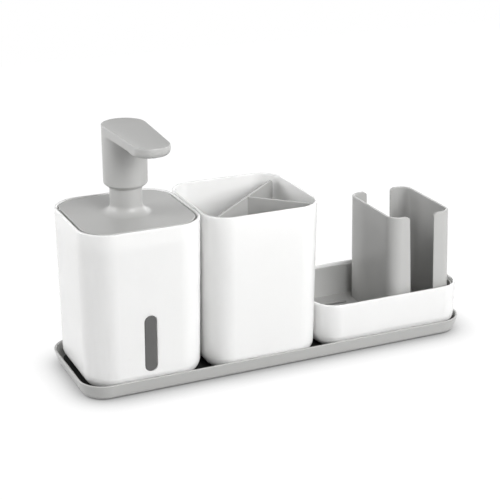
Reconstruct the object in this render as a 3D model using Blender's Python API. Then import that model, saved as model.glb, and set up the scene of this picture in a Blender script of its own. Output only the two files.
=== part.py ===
"""Sink organizer: a tray that holds a soap dispenser, a divided pot and a drainer dish.

Metres, +Z up. The origin is on the worktop, under the middle of the tray. +X runs along the row
from the dispenser to the dish, and -Y is the front, where the nozzle points.
"""
import math

import bmesh
import bpy
from mathutils import Matrix, Vector

# Tray, its feet and its mat
TRAY_LENGTH = 0.2956
TRAY_DEPTH = 0.0872
TRAY_HEIGHT = 0.0117
TRAY_CORNER = 0.0186
TRAY_WALL = 0.0015
TRAY_FLOOR = 0.0018
TRAY_FLARE = 0.0034
TRAY_FILLET = 0.0020
TRAY_INNER_FILLET = 0.0015
RIM_ROUND = 0.0005
FOOT_STAND = 0.0006
FOOT_RECESS = 0.0008
FOOT_RADIUS = 0.0060
FOOT_INSET_X = 0.0240
FOOT_INSET_Y = 0.0180
MAT_THICKNESS = 0.0009
MAT_MARGIN = 0.0004

# The row of vessels on the tray
VESSEL_WALL = 0.0019
VESSEL_FLOOR = 0.0024
VESSEL_FILLET = 0.0088
INNER_FILLET = 0.0060
BOTTLE_CORNER = 0.0211
POT_CORNER = 0.0182
ROW_GAP = 0.0007
ROW_LEFT_GAP = 0.00425
ROW_RIGHT_GAP = 0.00185
ROW_SIDE_GAP = 0.0011
DRAFT_SHARE = 0.011
SEAT_GAP = 0.0003
CUT_OVERRUN = 0.0020

# Lid, its seal and its seat in the bottle
LID_INSET = 0.0030
LID_THICKNESS = 0.0030
LID_EDGE = 0.0007
LID_SUNK = 0.0002
SHELF_INSET = 0.0046
SHELF_DEPTH = 0.0045
SHELF_TAPER = 0.0030
SEAL_WIDTH = 0.0012
SEAL_HEIGHT = 0.0026
SKIRT_WALL = 0.0018
SKIRT_LIP = 0.0014
SKIRT_LIP_HEIGHT = 0.0016

# Neck of the lid
NECK_RADIUS = 0.0109
NECK_BORE = 0.0090
NECK_RISE = 0.0264
FLARE_RADIUS = 0.0180
FLARE_HEIGHT = 0.0062
BOSS_RADIUS = 0.0122
BOSS_DROP = 0.0090

# Pump barrel, its washer, its cap and the dip tube
FLANGE_RADIUS = 0.0108
GASKET_THICKNESS = 0.0008
HOUSING_RADIUS = 0.0086
HOUSING_BORE = 0.0074
HOUSING_FLANGE = 0.0012
HOUSING_LENGTH = 0.0480
HOUSING_LEDGE = 0.0018
HOUSING_CONE = 0.0045
VALVE_POCKET = 0.0033
VALVE_POCKET_DEPTH = 0.0070
VALVE_PORT = 0.0016
VALVE_SEAT_DEPTH = 0.0022
VALVE_PORT_LENGTH = 0.0020
SOCKET_RADIUS = 0.0050
SOCKET_DEPTH = 0.0090
DIP_RADIUS = 0.0032
DIP_BORE = 0.0021
DIP_CLEARANCE = 0.0040
BALL_RADIUS = 0.0028
BALL_GAP = 0.0001
GUIDE_THICKNESS = 0.0026
GUIDE_PLUG = 0.0040
GUIDE_PLUG_WALL = 0.0014

# What the head pushes down: the stem, the piston and the spring
STROKE = 0.0100
STROKE_MARGIN = 0.0012
STEM_RADIUS = 0.0040
STEM_BORE = 0.0021
STEM_FLANGE_RADIUS = 0.0048
STEM_FLANGE_HEIGHT = 0.0017
PISTON_LENGTH = 0.0070
PISTON_LIP = 0.0018
PISTON_GROOVE = 0.0008
PISTON_CLEARANCE = 0.0001
SPRING_RADIUS = 0.0057
SPRING_WIRE = 0.0010
DISCHARGE_BALL_RADIUS = 0.0023
DISCHARGE_POCKET = 0.0028
DISCHARGE_POCKET_DEPTH = 0.0055
DISCHARGE_SEAT_DEPTH = 0.0009

# Pump head and the channel inside it
HEAD_TOP = 0.1769
STEM_HEADROOM = 0.0044
SLEEVE_OVERLAP = 0.0083
SLEEVE_RADIUS = 0.0148
SLEEVE_TOP_RADIUS = 0.0150
SLEEVE_CHAMFER = 0.0024
SLEEVE_FOOT_WALL = 0.0006
SLEEVE_LIP_CLEARANCE = 0.0005
SLEEVE_LIP_HEIGHT = 0.0016
SLEEVE_WALL = 0.0019
PLATE_THICKNESS = 0.0058
TIP_THICKNESS = 0.0080
TIP_TAPER_LENGTH = 0.0220
PLATE_SKIN = 0.0020
PLATE_EDGE = 0.0006
PLATE_UNDER_EDGE = 0.0008
HEAD_REACH = 0.0575
HEAD_TURN_DEGREES = 1.5
TIP_HALF_WIDTH = 0.0122
TIP_CORNER = 0.0085
TROUGH_HALF_WIDTH = 0.0055
TIP_WALL = 0.0045
CHANNEL_HALF_WIDTH = 0.0040
CHANNEL_BORE = 0.0012
NOZZLE_RADIUS = 0.0030
SPOUT_SOCKET_RADIUS = 0.0060
SPOUT_SOCKET_DEPTH = 0.0070
SPOUT_FLANGE_THICKNESS = 0.0016

# Level window in the bottle's front
WINDOW_WIDTH = 0.0088
WINDOW_HEIGHT = 0.0406
WINDOW_LOW = 0.0159
WINDOW_FLANGE = 0.0022
WINDOW_FLANGE_THICKNESS = 0.0012
WINDOW_ROUND_SHARE = 0.98

# Divider of the pot
DIVIDER_WALL = 0.0018
DIVIDER_DROP = 0.0032
DIVIDER_END_GAP = 0.0006
DIVIDER_TOP_ROUND = 0.0036
DIVIDER_FOOT_ROUND = 0.0075
BRANCH_OFFSET = 0.0050
DIVIDER_ANGLE_DEGREES = 41
BRANCH_ANGLE_DEGREES = -42.5

# Dish and its drainer
DISH_LENGTH = 0.1171
DISH_SIDE_GAP = 0.0045
DISH_LEVEL = 0.0374
DISH_CORNER = 0.0164
INSERT_GAP = 0.0005
INSERT_DROP = 0.0019
INSERT_WALL = 0.0015
INSERT_FLOOR = 0.0018
INSERT_FLOOR_LEVEL = 0.0123
INSERT_FILLET = 0.0035
INSERT_INNER_FILLET = 0.0020
PEG_RADIUS = 0.0030
PEG_INSET = 0.0150
SLOT_WIDTH = 0.0028
SHORT_SLOT_LENGTH = 0.0240
SLOT_PITCH = 0.0130
SLOT_END_GAP = 0.0075
SLOT_GUARD_GAP = 0.0059

# Sponge guards
GUARD_TOP = 0.0937
GUARD_WALL = 0.0020
GUARD_SIDE_GAP = 0.0066
GUARD_CORNER = 0.0090
GUARD_TOP_ROUND = 0.0028
GUARD_SPACING = 0.0508
LEFT_FLANGE = 0.0150
LEFT_LEAN_SHARE = 0.025
LEFT_WIDENING_SHARE = 0.034
RIGHT_GUARD_INSET = 0.0090
RIGHT_FLANGE = 0.0158
RIGHT_BACK_FLANGE = 0.0150
RIGHT_LEAN_SHARE = 0.046
RIGHT_WIDENING_SHARE = 0.006

# Counts of points, turns and copies
CORNER_POINTS = 8
FILLET_POINTS = 6
FLARE_POINTS = 7
GUARD_POINTS = 6
BALL_ROWS = 9
SPRING_TURNS = 7
SPRING_TURN_POINTS = 9
SPRING_SIDES = 6
SLOT_COUNT = 4

# Levels and places that follow from the sizes above
TRAY_UNDERSIDE = FOOT_STAND
RECESS_LEVEL = TRAY_UNDERSIDE + FOOT_RECESS
TRAY_FLOOR_LEVEL = TRAY_UNDERSIDE + TRAY_FLOOR
MAT_BOTTOM = TRAY_FLOOR_LEVEL + SEAT_GAP
VESSEL_BASE = MAT_BOTTOM + MAT_THICKNESS + SEAT_GAP
VESSEL_FLOOR_LEVEL = VESSEL_BASE + VESSEL_FLOOR
ROW_LENGTH = TRAY_LENGTH - ROW_LEFT_GAP - ROW_RIGHT_GAP
VESSEL_LENGTH = (ROW_LENGTH - DISH_LENGTH) / 2 - ROW_GAP
VESSEL_DEPTH = TRAY_DEPTH - 2 * ROW_SIDE_GAP
DISH_DEPTH = TRAY_DEPTH - 2 * DISH_SIDE_GAP
BOTTLE_X = ROW_LEFT_GAP - TRAY_LENGTH / 2 + VESSEL_LENGTH / 2
POT_X = BOTTLE_X + VESSEL_LENGTH + ROW_GAP
DISH_X = POT_X + VESSEL_LENGTH / 2 + ROW_GAP + DISH_LENGTH / 2

# The pump's parts are stacked downwards from the top of its head, and the neck takes them
CAVITY_TOP = HEAD_TOP - PLATE_SKIN
CHANNEL_TOP = CAVITY_TOP - SEAT_GAP
CHANNEL_LEVEL = HEAD_TOP - PLATE_THICKNESS
STEM_TOP = CHANNEL_LEVEL - STEM_HEADROOM
SPOUT_BOTTOM = STEM_TOP - SPOUT_SOCKET_DEPTH
GUIDE_TOP = SPOUT_BOTTOM - STROKE_MARGIN - STROKE
GUIDE_LEVEL = GUIDE_TOP - GUIDE_THICKNESS
HOUSING_TOP = GUIDE_LEVEL - SEAT_GAP
FLANGE_LEVEL = HOUSING_TOP - HOUSING_FLANGE
GASKET_LEVEL = FLANGE_LEVEL - SEAT_GAP - GASKET_THICKNESS
NECK_TOP = GASKET_LEVEL - SEAT_GAP
SLEEVE_BOTTOM = NECK_TOP - SLEEVE_OVERLAP
RIM_LEVEL = NECK_TOP - NECK_RISE

# The lid, the barrel and what they carry
LID_TOP = RIM_LEVEL - LID_SUNK
LID_UNDERSIDE = LID_TOP - LID_THICKNESS
SHELF_LEVEL = LID_UNDERSIDE - SEAT_GAP
SKIRT_BOTTOM = LID_UNDERSIDE - SHELF_DEPTH - SKIRT_LIP_HEIGHT
SEAL_INSET = SHELF_INSET + DRAFT_SHARE * (RIM_LEVEL - SKIRT_BOTTOM) + SEAT_GAP
SKIRT_INSET = SEAL_INSET + SEAL_WIDTH + SEAT_GAP
SPRING_SEAT = HOUSING_TOP - HOUSING_LENGTH
BALL_SEAT = SPRING_SEAT - VALVE_POCKET_DEPTH
VALVE_PORT_TOP = BALL_SEAT - VALVE_SEAT_DEPTH
SOCKET_TOP = VALVE_PORT_TOP - VALVE_PORT_LENGTH
SOCKET_BOTTOM = SOCKET_TOP - SOCKET_DEPTH
DIP_BOTTOM = VESSEL_FLOOR_LEVEL + DIP_CLEARANCE
PISTON_TOP = GUIDE_LEVEL - GUIDE_PLUG - SEAT_GAP
PISTON_BOTTOM = PISTON_TOP - PISTON_LENGTH
STEM_FLANGE_TOP = PISTON_BOTTOM - SEAT_GAP
STEM_BOTTOM = STEM_FLANGE_TOP - STEM_FLANGE_HEIGHT
DISCHARGE_SEAT = STEM_TOP - DISCHARGE_POCKET_DEPTH
CAVITY_RADIUS = SLEEVE_RADIUS - SLEEVE_WALL
LIP_RADIUS = NECK_RADIUS + SLEEVE_LIP_CLEARANCE
NOZZLE_Y = -(HEAD_REACH - TIP_WALL - SEAT_GAP - NOZZLE_RADIUS)
GUARD_HALF_DEPTH = DISH_DEPTH / 2 - GUARD_SIDE_GAP
RIGHT_GUARD_X = DISH_X + DISH_LENGTH / 2 - RIGHT_GUARD_INSET
LEFT_GUARD_X = RIGHT_GUARD_X - GUARD_SPACING
INSERT_UNDERSIDE = INSERT_FLOOR_LEVEL - INSERT_FLOOR


def clear_scene():
    for old in list(bpy.data.objects):
        bpy.data.objects.remove(old, do_unlink=True)


def make_material(name, color, roughness, metallic=0, alpha=1):
    material = bpy.data.materials.new(name)
    material.use_nodes = True
    shader = material.node_tree.nodes["Principled BSDF"]
    shader.inputs["Base Color"].default_value = (*color, 1)
    shader.inputs["Roughness"].default_value = roughness
    shader.inputs["Metallic"].default_value = metallic
    shader.inputs["Alpha"].default_value = alpha
    return material


def white_plastic(piece_name):
    return make_material("white gloss plastic of " + piece_name, (0.86, 0.86, 0.85), 0.22)


def grey_plastic(piece_name):
    return make_material("grey satin plastic of " + piece_name, (0.42, 0.42, 0.41), 0.42)


def natural_plastic(piece_name):
    return make_material("natural plastic of " + piece_name, (0.75, 0.76, 0.76), 0.35)


def black_rubber(piece_name):
    return make_material("black rubber of " + piece_name, (0.03, 0.03, 0.03), 0.75)


def bright_steel(piece_name):
    return make_material("bright steel of " + piece_name, (0.6, 0.6, 0.6), 0.25, metallic=1)


# Outlines are lists of (x, y) that run anticlockwise with the same number of points
def corner_ring(half_x, half_y, radius):
    ring = []
    for corner, (side_x, side_y) in enumerate(((1, 1), (-1, 1), (-1, -1), (1, -1))):
        for step in range(CORNER_POINTS):
            angle = math.radians(90) * (corner + step / (CORNER_POINTS - 1))
            x = side_x * (half_x - radius) + radius * math.cos(angle)
            y = side_y * (half_y - radius) + radius * math.sin(angle)
            ring.append((x, y))
    return ring


def round_ring(radius):
    count = 4 * CORNER_POINTS
    angles = [2 * math.pi * (i + 0.5) / count for i in range(count)]
    return [(radius * math.cos(angle), radius * math.sin(angle)) for angle in angles]


def at_level(ring, level, x=0, y=0):
    return [Vector((x + px, y + py, level)) for px, py in ring]


def quarter_fillet(radius):
    """Pairs of (inset, rise) that lead from a flat foot up to the wall."""
    pairs = []
    for step in range(FILLET_POINTS):
        angle = math.radians(90) * step / (FILLET_POINTS - 1)
        pairs.append((radius * (1 - math.sin(angle)), radius * (1 - math.cos(angle))))
    return pairs


def add_object(name, builder, material):
    mesh = bpy.data.meshes.new(name)
    bmesh.ops.recalc_face_normals(builder, faces=builder.faces)
    builder.to_mesh(mesh)
    builder.free()
    mesh.materials.append(material)
    mesh.shade_smooth()
    mesh.set_sharp_from_angle(angle=math.radians(35))
    piece = bpy.data.objects.new(name, mesh)
    bpy.context.collection.objects.link(piece)
    return piece


def loft(name, rings, material, through=False):
    """Skin a stack of rings. Its ends are capped, or joined to each other where a bore runs through."""
    builder = bmesh.new()
    rows = [[builder.verts.new(point) for point in ring] for ring in rings]
    count = len(rows[0])
    pairs = list(zip(rows, rows[1:]))
    if through:
        pairs.append((rows[-1], rows[0]))
    for lower, upper in pairs:
        for i in range(count):
            following = (i + 1) % count
            builder.faces.new((lower[i], lower[following], upper[following], upper[i]))
    if not through:
        builder.faces.new(rows[0])
        builder.faces.new(rows[-1])
    return add_object(name, builder, material)


def turned(name, profile, material, x=0, y=0, through=False):
    """Turn a list of (radius, level) about the upright axis at x, y."""
    rings = [at_level(round_ring(radius), level, x, y) for radius, level in profile]
    return loft(name, rings, material, through)


def block(name, low, high, material):
    """A plain box between two corners, used as a cutter or as an arm of a moulding."""
    ring = [(low[0], low[1]), (high[0], low[1]), (high[0], high[1]), (low[0], high[1])]
    return loft(name, [at_level(ring, low[2]), at_level(ring, high[2])], material)


def combine(piece, helper, operation):
    modifier = piece.modifiers.new(operation.lower() + " " + helper.name, "BOOLEAN")
    modifier.operation = operation
    modifier.solver = "EXACT"
    modifier.object = helper
    helper.hide_render = True
    helper.display_type = "WIRE"


def cut(piece, cutter):
    combine(piece, cutter, "DIFFERENCE")


def join(piece, arm):
    combine(piece, arm, "UNION")


def set_origin(piece, x, y, z):
    """Put the piece's origin on its joint's axis without moving its surface."""
    piece.data.transform(Matrix.Translation((-x, -y, -z)))
    piece.location = (x, y, z)


# Vessels: the bottle, the pot and the dish are one kind of drafted cup
def vessel_ring(half_x, half_y, corner, rim_level, x, inset, level):
    offset = inset + DRAFT_SHARE * (rim_level - level)
    return at_level(corner_ring(half_x - offset, half_y - offset, corner - offset), level, x)


def vessel_rings(half_x, half_y, corner, rim_level, x, shelf):
    """Rings up the outside, over the rim and down the inside. The shelf lists (inset, level) below it."""
    steps = [(inset, VESSEL_BASE + rise) for inset, rise in quarter_fillet(VESSEL_FILLET)]
    steps.append((0, rim_level - RIM_ROUND))
    steps.append((RIM_ROUND, rim_level))
    steps.append((VESSEL_WALL - RIM_ROUND, rim_level))
    steps.append((VESSEL_WALL, rim_level - RIM_ROUND))
    steps.extend(shelf)
    for inset, rise in reversed(quarter_fillet(INNER_FILLET)):
        steps.append((VESSEL_WALL + inset, VESSEL_FLOOR_LEVEL + rise))
    return [vessel_ring(half_x, half_y, corner, rim_level, x, inset, level) for inset, level in steps]


def front_wall_y(level, inset):
    return -(VESSEL_DEPTH / 2 - inset - DRAFT_SHARE * (RIM_LEVEL - level))


def window_ring(grow, inset):
    """The window's outline, which leans with the bottle's front wall."""
    half_x = WINDOW_WIDTH / 2 + grow
    half_z = WINDOW_HEIGHT / 2 + grow
    middle = WINDOW_LOW + WINDOW_HEIGHT / 2
    outline = corner_ring(half_x, half_z, half_x * WINDOW_ROUND_SHARE)
    return [Vector((BOTTLE_X + px, front_wall_y(middle + pz, inset), middle + pz)) for px, pz in outline]


def make_bottle():
    shelf = [(VESSEL_WALL, SHELF_LEVEL), (SHELF_INSET, SHELF_LEVEL)]
    shelf.append((SHELF_INSET, SHELF_LEVEL - SHELF_DEPTH))
    shelf.append((VESSEL_WALL, SHELF_LEVEL - SHELF_DEPTH - SHELF_TAPER))
    half_x = VESSEL_LENGTH / 2
    half_y = VESSEL_DEPTH / 2
    rings = vessel_rings(half_x, half_y, BOTTLE_CORNER, RIM_LEVEL, BOTTLE_X, shelf)
    material = white_plastic("bottle")
    bottle = loft("bottle", rings, material)
    opening = [window_ring(0, -CUT_OVERRUN), window_ring(0, VESSEL_WALL + CUT_OVERRUN)]
    cut(bottle, loft("window opening", opening, material))
    set_origin(bottle, BOTTLE_X, 0, VESSEL_BASE)


def make_level_window():
    inner_face = VESSEL_WALL + SEAT_GAP
    rings = [window_ring(-SEAT_GAP, SEAT_GAP), window_ring(-SEAT_GAP, inner_face)]
    rings.append(window_ring(WINDOW_FLANGE, inner_face))
    rings.append(window_ring(WINDOW_FLANGE, inner_face + WINDOW_FLANGE_THICKNESS))
    smoky = make_material("smoky clear plastic", (0.12, 0.12, 0.115), 0.15, alpha=0.85)
    loft("level_window", rings, smoky)


# Lid: a plate with a flared neck above, and a skirt and a boss below
def lid_ring(inset, level):
    half_x = VESSEL_LENGTH / 2 - inset
    half_y = VESSEL_DEPTH / 2 - inset
    return at_level(corner_ring(half_x, half_y, BOTTLE_CORNER - inset), level, BOTTLE_X)


def make_lid():
    rings = [lid_ring(LID_INSET, LID_UNDERSIDE), lid_ring(LID_INSET, LID_TOP - LID_EDGE)]
    rings.append(lid_ring(LID_INSET + LID_EDGE, LID_TOP))
    turned_part = []
    for step in range(FLARE_POINTS):
        angle = math.radians(90) * step / (FLARE_POINTS - 1)
        radius = FLARE_RADIUS - (FLARE_RADIUS - NECK_RADIUS) * math.sin(angle)
        turned_part.append((radius, LID_TOP + FLARE_HEIGHT * (1 - math.cos(angle))))
    turned_part.append((NECK_RADIUS, NECK_TOP))
    turned_part.append((NECK_BORE, NECK_TOP))
    turned_part.append((NECK_BORE, LID_UNDERSIDE - BOSS_DROP))
    turned_part.append((BOSS_RADIUS, LID_UNDERSIDE - BOSS_DROP))
    turned_part.append((BOSS_RADIUS, LID_UNDERSIDE))
    for radius, level in turned_part:
        rings.append(at_level(round_ring(radius), level, BOTTLE_X))
    rings.append(lid_ring(SKIRT_INSET + SKIRT_WALL, LID_UNDERSIDE))
    rings.append(lid_ring(SKIRT_INSET + SKIRT_WALL, SKIRT_BOTTOM))
    rings.append(lid_ring(SKIRT_INSET - SKIRT_LIP, SKIRT_BOTTOM))
    rings.append(lid_ring(SKIRT_INSET - SKIRT_LIP, SKIRT_BOTTOM + SKIRT_LIP_HEIGHT))
    rings.append(lid_ring(SKIRT_INSET, SKIRT_BOTTOM + SKIRT_LIP_HEIGHT))
    rings.append(lid_ring(SKIRT_INSET, LID_UNDERSIDE))
    lid = loft("lid", rings, grey_plastic("lid"), through=True)
    set_origin(lid, BOTTLE_X, 0, LID_TOP)


def make_lid_seal():
    low = SKIRT_BOTTOM + SKIRT_LIP_HEIGHT + SEAT_GAP
    high = low + SEAL_HEIGHT
    outer = SEAL_INSET
    inner = SEAL_INSET + SEAL_WIDTH
    rings = [lid_ring(outer, low), lid_ring(outer, high), lid_ring(inner, high), lid_ring(inner, low)]
    loft("lid_seal", rings, black_rubber("lid seal"), through=True)


# Pump, turned about the axis of the bottle
def pump_turned(name, profile, material, through=True):
    return turned(name, profile, material, x=BOTTLE_X, through=through)


def make_housing():
    profile = [(FLANGE_RADIUS, FLANGE_LEVEL), (FLANGE_RADIUS, HOUSING_TOP), (HOUSING_BORE, HOUSING_TOP)]
    profile.append((HOUSING_BORE, SPRING_SEAT))
    profile.append((VALVE_POCKET, SPRING_SEAT))
    profile.append((VALVE_POCKET, BALL_SEAT))
    profile.append((VALVE_PORT, VALVE_PORT_TOP))
    profile.append((VALVE_PORT, SOCKET_TOP))
    profile.append((DIP_RADIUS + SEAT_GAP, SOCKET_TOP))
    profile.append((DIP_RADIUS + SEAT_GAP, SOCKET_BOTTOM))
    profile.append((SOCKET_RADIUS, SOCKET_BOTTOM))
    profile.append((SOCKET_RADIUS, SPRING_SEAT - HOUSING_LEDGE - HOUSING_CONE))
    profile.append((HOUSING_RADIUS, SPRING_SEAT - HOUSING_LEDGE))
    profile.append((HOUSING_RADIUS, FLANGE_LEVEL))
    pump_turned("pump_housing", profile, natural_plastic("pump housing"))


def make_housing_gasket():
    top = GASKET_LEVEL + GASKET_THICKNESS
    bore = HOUSING_RADIUS + SEAT_GAP
    profile = [(FLANGE_RADIUS, GASKET_LEVEL), (FLANGE_RADIUS, top), (bore, top), (bore, GASKET_LEVEL)]
    pump_turned("housing_gasket", profile, black_rubber("housing gasket"))


def make_stem_guide():
    plug = HOUSING_BORE - SEAT_GAP
    hollow = plug - GUIDE_PLUG_WALL
    bore = STEM_RADIUS + SEAT_GAP
    plug_bottom = GUIDE_LEVEL - GUIDE_PLUG
    profile = [(plug, plug_bottom), (plug, GUIDE_LEVEL), (FLANGE_RADIUS, GUIDE_LEVEL)]
    profile += [(FLANGE_RADIUS, GUIDE_TOP), (bore, GUIDE_TOP), (bore, GUIDE_LEVEL)]
    profile += [(hollow, GUIDE_LEVEL), (hollow, plug_bottom)]
    pump_turned("stem_guide", profile, natural_plastic("stem guide"))


def make_dip_tube():
    top = SOCKET_TOP - SEAT_GAP
    profile = [(DIP_RADIUS, DIP_BOTTOM), (DIP_RADIUS, top), (DIP_BORE, top), (DIP_BORE, DIP_BOTTOM)]
    pump_turned("dip_tube", profile, natural_plastic("dip tube"))


def make_stem():
    profile = [(STEM_FLANGE_RADIUS, STEM_BOTTOM), (STEM_FLANGE_RADIUS, STEM_FLANGE_TOP)]
    profile += [(STEM_RADIUS, STEM_FLANGE_TOP), (STEM_RADIUS, STEM_TOP)]
    profile += [(DISCHARGE_POCKET, STEM_TOP), (DISCHARGE_POCKET, DISCHARGE_SEAT)]
    profile += [(STEM_BORE, DISCHARGE_SEAT - DISCHARGE_SEAT_DEPTH), (STEM_BORE, STEM_BOTTOM)]
    stem = pump_turned("pump_stem", profile, natural_plastic("pump stem"))
    set_origin(stem, BOTTLE_X, 0, STEM_BOTTOM)


def make_piston():
    lip = HOUSING_BORE - PISTON_CLEARANCE
    groove = lip - PISTON_GROOVE
    bore = STEM_RADIUS + SEAT_GAP
    profile = [(lip, PISTON_BOTTOM), (lip, PISTON_BOTTOM + PISTON_LIP)]
    profile += [(groove, PISTON_BOTTOM + PISTON_LIP)]
    profile += [(groove, PISTON_TOP - PISTON_LIP), (lip, PISTON_TOP - PISTON_LIP), (lip, PISTON_TOP)]
    profile += [(bore, PISTON_TOP), (bore, PISTON_BOTTOM)]
    piston = pump_turned("piston", profile, natural_plastic("piston"))
    set_origin(piston, BOTTLE_X, 0, PISTON_BOTTOM)


def make_spring():
    """An open coil between the barrel's ledge and the piston."""
    low = SPRING_SEAT + SEAT_GAP + SPRING_WIRE / 2
    high = PISTON_BOTTOM - SEAT_GAP - SPRING_WIRE / 2
    steps = SPRING_TURNS * SPRING_TURN_POINTS
    rings = []
    for step in range(steps + 1):
        angle = 2 * math.pi * step / SPRING_TURN_POINTS
        outward = Vector((math.cos(angle), math.sin(angle), 0))
        centre = outward * SPRING_RADIUS + Vector((BOTTLE_X, 0, low + (high - low) * step / steps))
        ring = []
        for side in range(SPRING_SIDES):
            turn = 2 * math.pi * side / SPRING_SIDES
            rise = Vector((0, 0, math.sin(turn)))
            ring.append(centre + (outward * math.cos(turn) + rise) * (SPRING_WIRE / 2))
        rings.append(ring)
    spring = loft("pump_spring", rings, bright_steel("pump spring"))
    set_origin(spring, BOTTLE_X, 0, SPRING_SEAT)


def ball_height(radius, port, mouth, depth):
    """How far a ball's centre rests above the narrow end of its conical seat."""
    slant = math.hypot(mouth - port, depth)
    on_cone = ((radius + BALL_GAP) * slant - port * depth) / (mouth - port)
    on_edge = math.sqrt(max((radius + BALL_GAP) ** 2 - port ** 2, 0))
    return max(on_cone, on_edge)


def make_ball(name, radius, level):
    profile = []
    for row in range(BALL_ROWS):
        angle = math.pi * ((row + 0.5) / BALL_ROWS - 0.5)
        profile.append((radius * math.cos(angle), level + radius * math.sin(angle)))
    ball = pump_turned(name, profile, bright_steel(name), through=False)
    set_origin(ball, BOTTLE_X, 0, level)


def make_balls():
    inlet_rise = ball_height(BALL_RADIUS, VALVE_PORT, VALVE_POCKET, VALVE_SEAT_DEPTH)
    make_ball("inlet_ball", BALL_RADIUS, VALVE_PORT_TOP + inlet_rise)
    narrow = DISCHARGE_SEAT - DISCHARGE_SEAT_DEPTH
    rise = ball_height(DISCHARGE_BALL_RADIUS, STEM_BORE, DISCHARGE_POCKET, DISCHARGE_SEAT_DEPTH)
    make_ball("discharge_ball", DISCHARGE_BALL_RADIUS, narrow + rise)


# Pump head: a round sleeve under a long flat plate that reaches forward
def head_outline(inset):
    """Half a circle at the back, straight sides that draw in, and two rounded corners at the tip."""
    back = SLEEVE_TOP_RADIUS - inset
    corner = TIP_CORNER - inset
    centre_x = TIP_HALF_WIDTH - TIP_CORNER
    centre_y = HEAD_REACH - TIP_CORNER
    ring = []
    for quarter, side in enumerate((0, 0, -1, 1)):
        for step in range(CORNER_POINTS):
            angle = math.radians(90) * (quarter + step / (CORNER_POINTS - 1))
            radius = back if side == 0 else corner
            x = side * centre_x + radius * math.cos(angle)
            y = abs(side) * -centre_y + radius * math.sin(angle)
            ring.append((x, y))
    return ring


def plate_underside(y):
    """Level of the plate's lower edge: it drops towards the tip, where the nozzle is."""
    share = (-y - HEAD_REACH + TIP_TAPER_LENGTH) / TIP_TAPER_LENGTH
    share = min(max(share, 0), 1)
    smooth = share * share * (3 - 2 * share)
    return HEAD_TOP - PLATE_THICKNESS - (TIP_THICKNESS - PLATE_THICKNESS) * smooth


def turn_with_head(*pieces):
    """Swivel the finished moulding, and its cutters, about the stem."""
    axis = Vector((BOTTLE_X, 0, 0))
    swivel = Matrix.Rotation(math.radians(HEAD_TURN_DEGREES), 4, "Z")
    for piece in pieces:
        piece.data.transform(Matrix.Translation(axis) @ swivel @ Matrix.Translation(-axis))


def head_ring(inset, raise_by):
    return [Vector((BOTTLE_X + x, y, plate_underside(y) + raise_by)) for x, y in head_outline(inset)]


def make_pump_head():
    foot = LIP_RADIUS + SLEEVE_FOOT_WALL
    turned_part = [(foot, SLEEVE_BOTTOM), (SLEEVE_RADIUS, SLEEVE_BOTTOM + SLEEVE_CHAMFER)]
    turned_part.append((SLEEVE_TOP_RADIUS - PLATE_UNDER_EDGE / 2, CHANNEL_LEVEL - PLATE_UNDER_EDGE))
    rings = [at_level(round_ring(radius), level, BOTTLE_X) for radius, level in turned_part]
    rings.append(head_ring(PLATE_UNDER_EDGE / 2, 0))
    rings.append(head_ring(0, PLATE_UNDER_EDGE))
    rings.append(at_level(head_outline(0), HEAD_TOP - PLATE_EDGE, BOTTLE_X))
    rings.append(at_level(head_outline(PLATE_EDGE), HEAD_TOP, BOTTLE_X))
    material = grey_plastic("pump head")
    head = loft("pump_head", rings, material)

    cavity = [(LIP_RADIUS, SLEEVE_BOTTOM - CUT_OVERRUN), (LIP_RADIUS, SLEEVE_BOTTOM + SLEEVE_LIP_HEIGHT)]
    cavity.append((CAVITY_RADIUS, SLEEVE_BOTTOM + SLEEVE_LIP_HEIGHT + SLEEVE_CHAMFER))
    cavity.append((CAVITY_RADIUS, CAVITY_TOP))
    hollow = turned("sleeve hollow", cavity, material, x=BOTTLE_X)
    cut(head, hollow)

    half = TROUGH_HALF_WIDTH
    low = (BOTTLE_X - half, -(HEAD_REACH - TIP_WALL), HEAD_TOP - TIP_THICKNESS - CUT_OVERRUN)
    high = (BOTTLE_X + half, -(SLEEVE_TOP_RADIUS + SEAT_GAP), CAVITY_TOP)
    trough = block("trough under the plate", low, high, material)
    cut(head, trough)

    half = CHANNEL_HALF_WIDTH + SEAT_GAP
    low = (BOTTLE_X - half, -(SLEEVE_TOP_RADIUS + CUT_OVERRUN), CHANNEL_LEVEL - SEAT_GAP)
    high = (BOTTLE_X + half, -(CAVITY_RADIUS - CUT_OVERRUN), CAVITY_TOP)
    way_through = block("way through the sleeve", low, high, material)
    cut(head, way_through)
    turn_with_head(head, hollow, trough, way_through)
    set_origin(head, BOTTLE_X, 0, HEAD_TOP)


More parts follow.
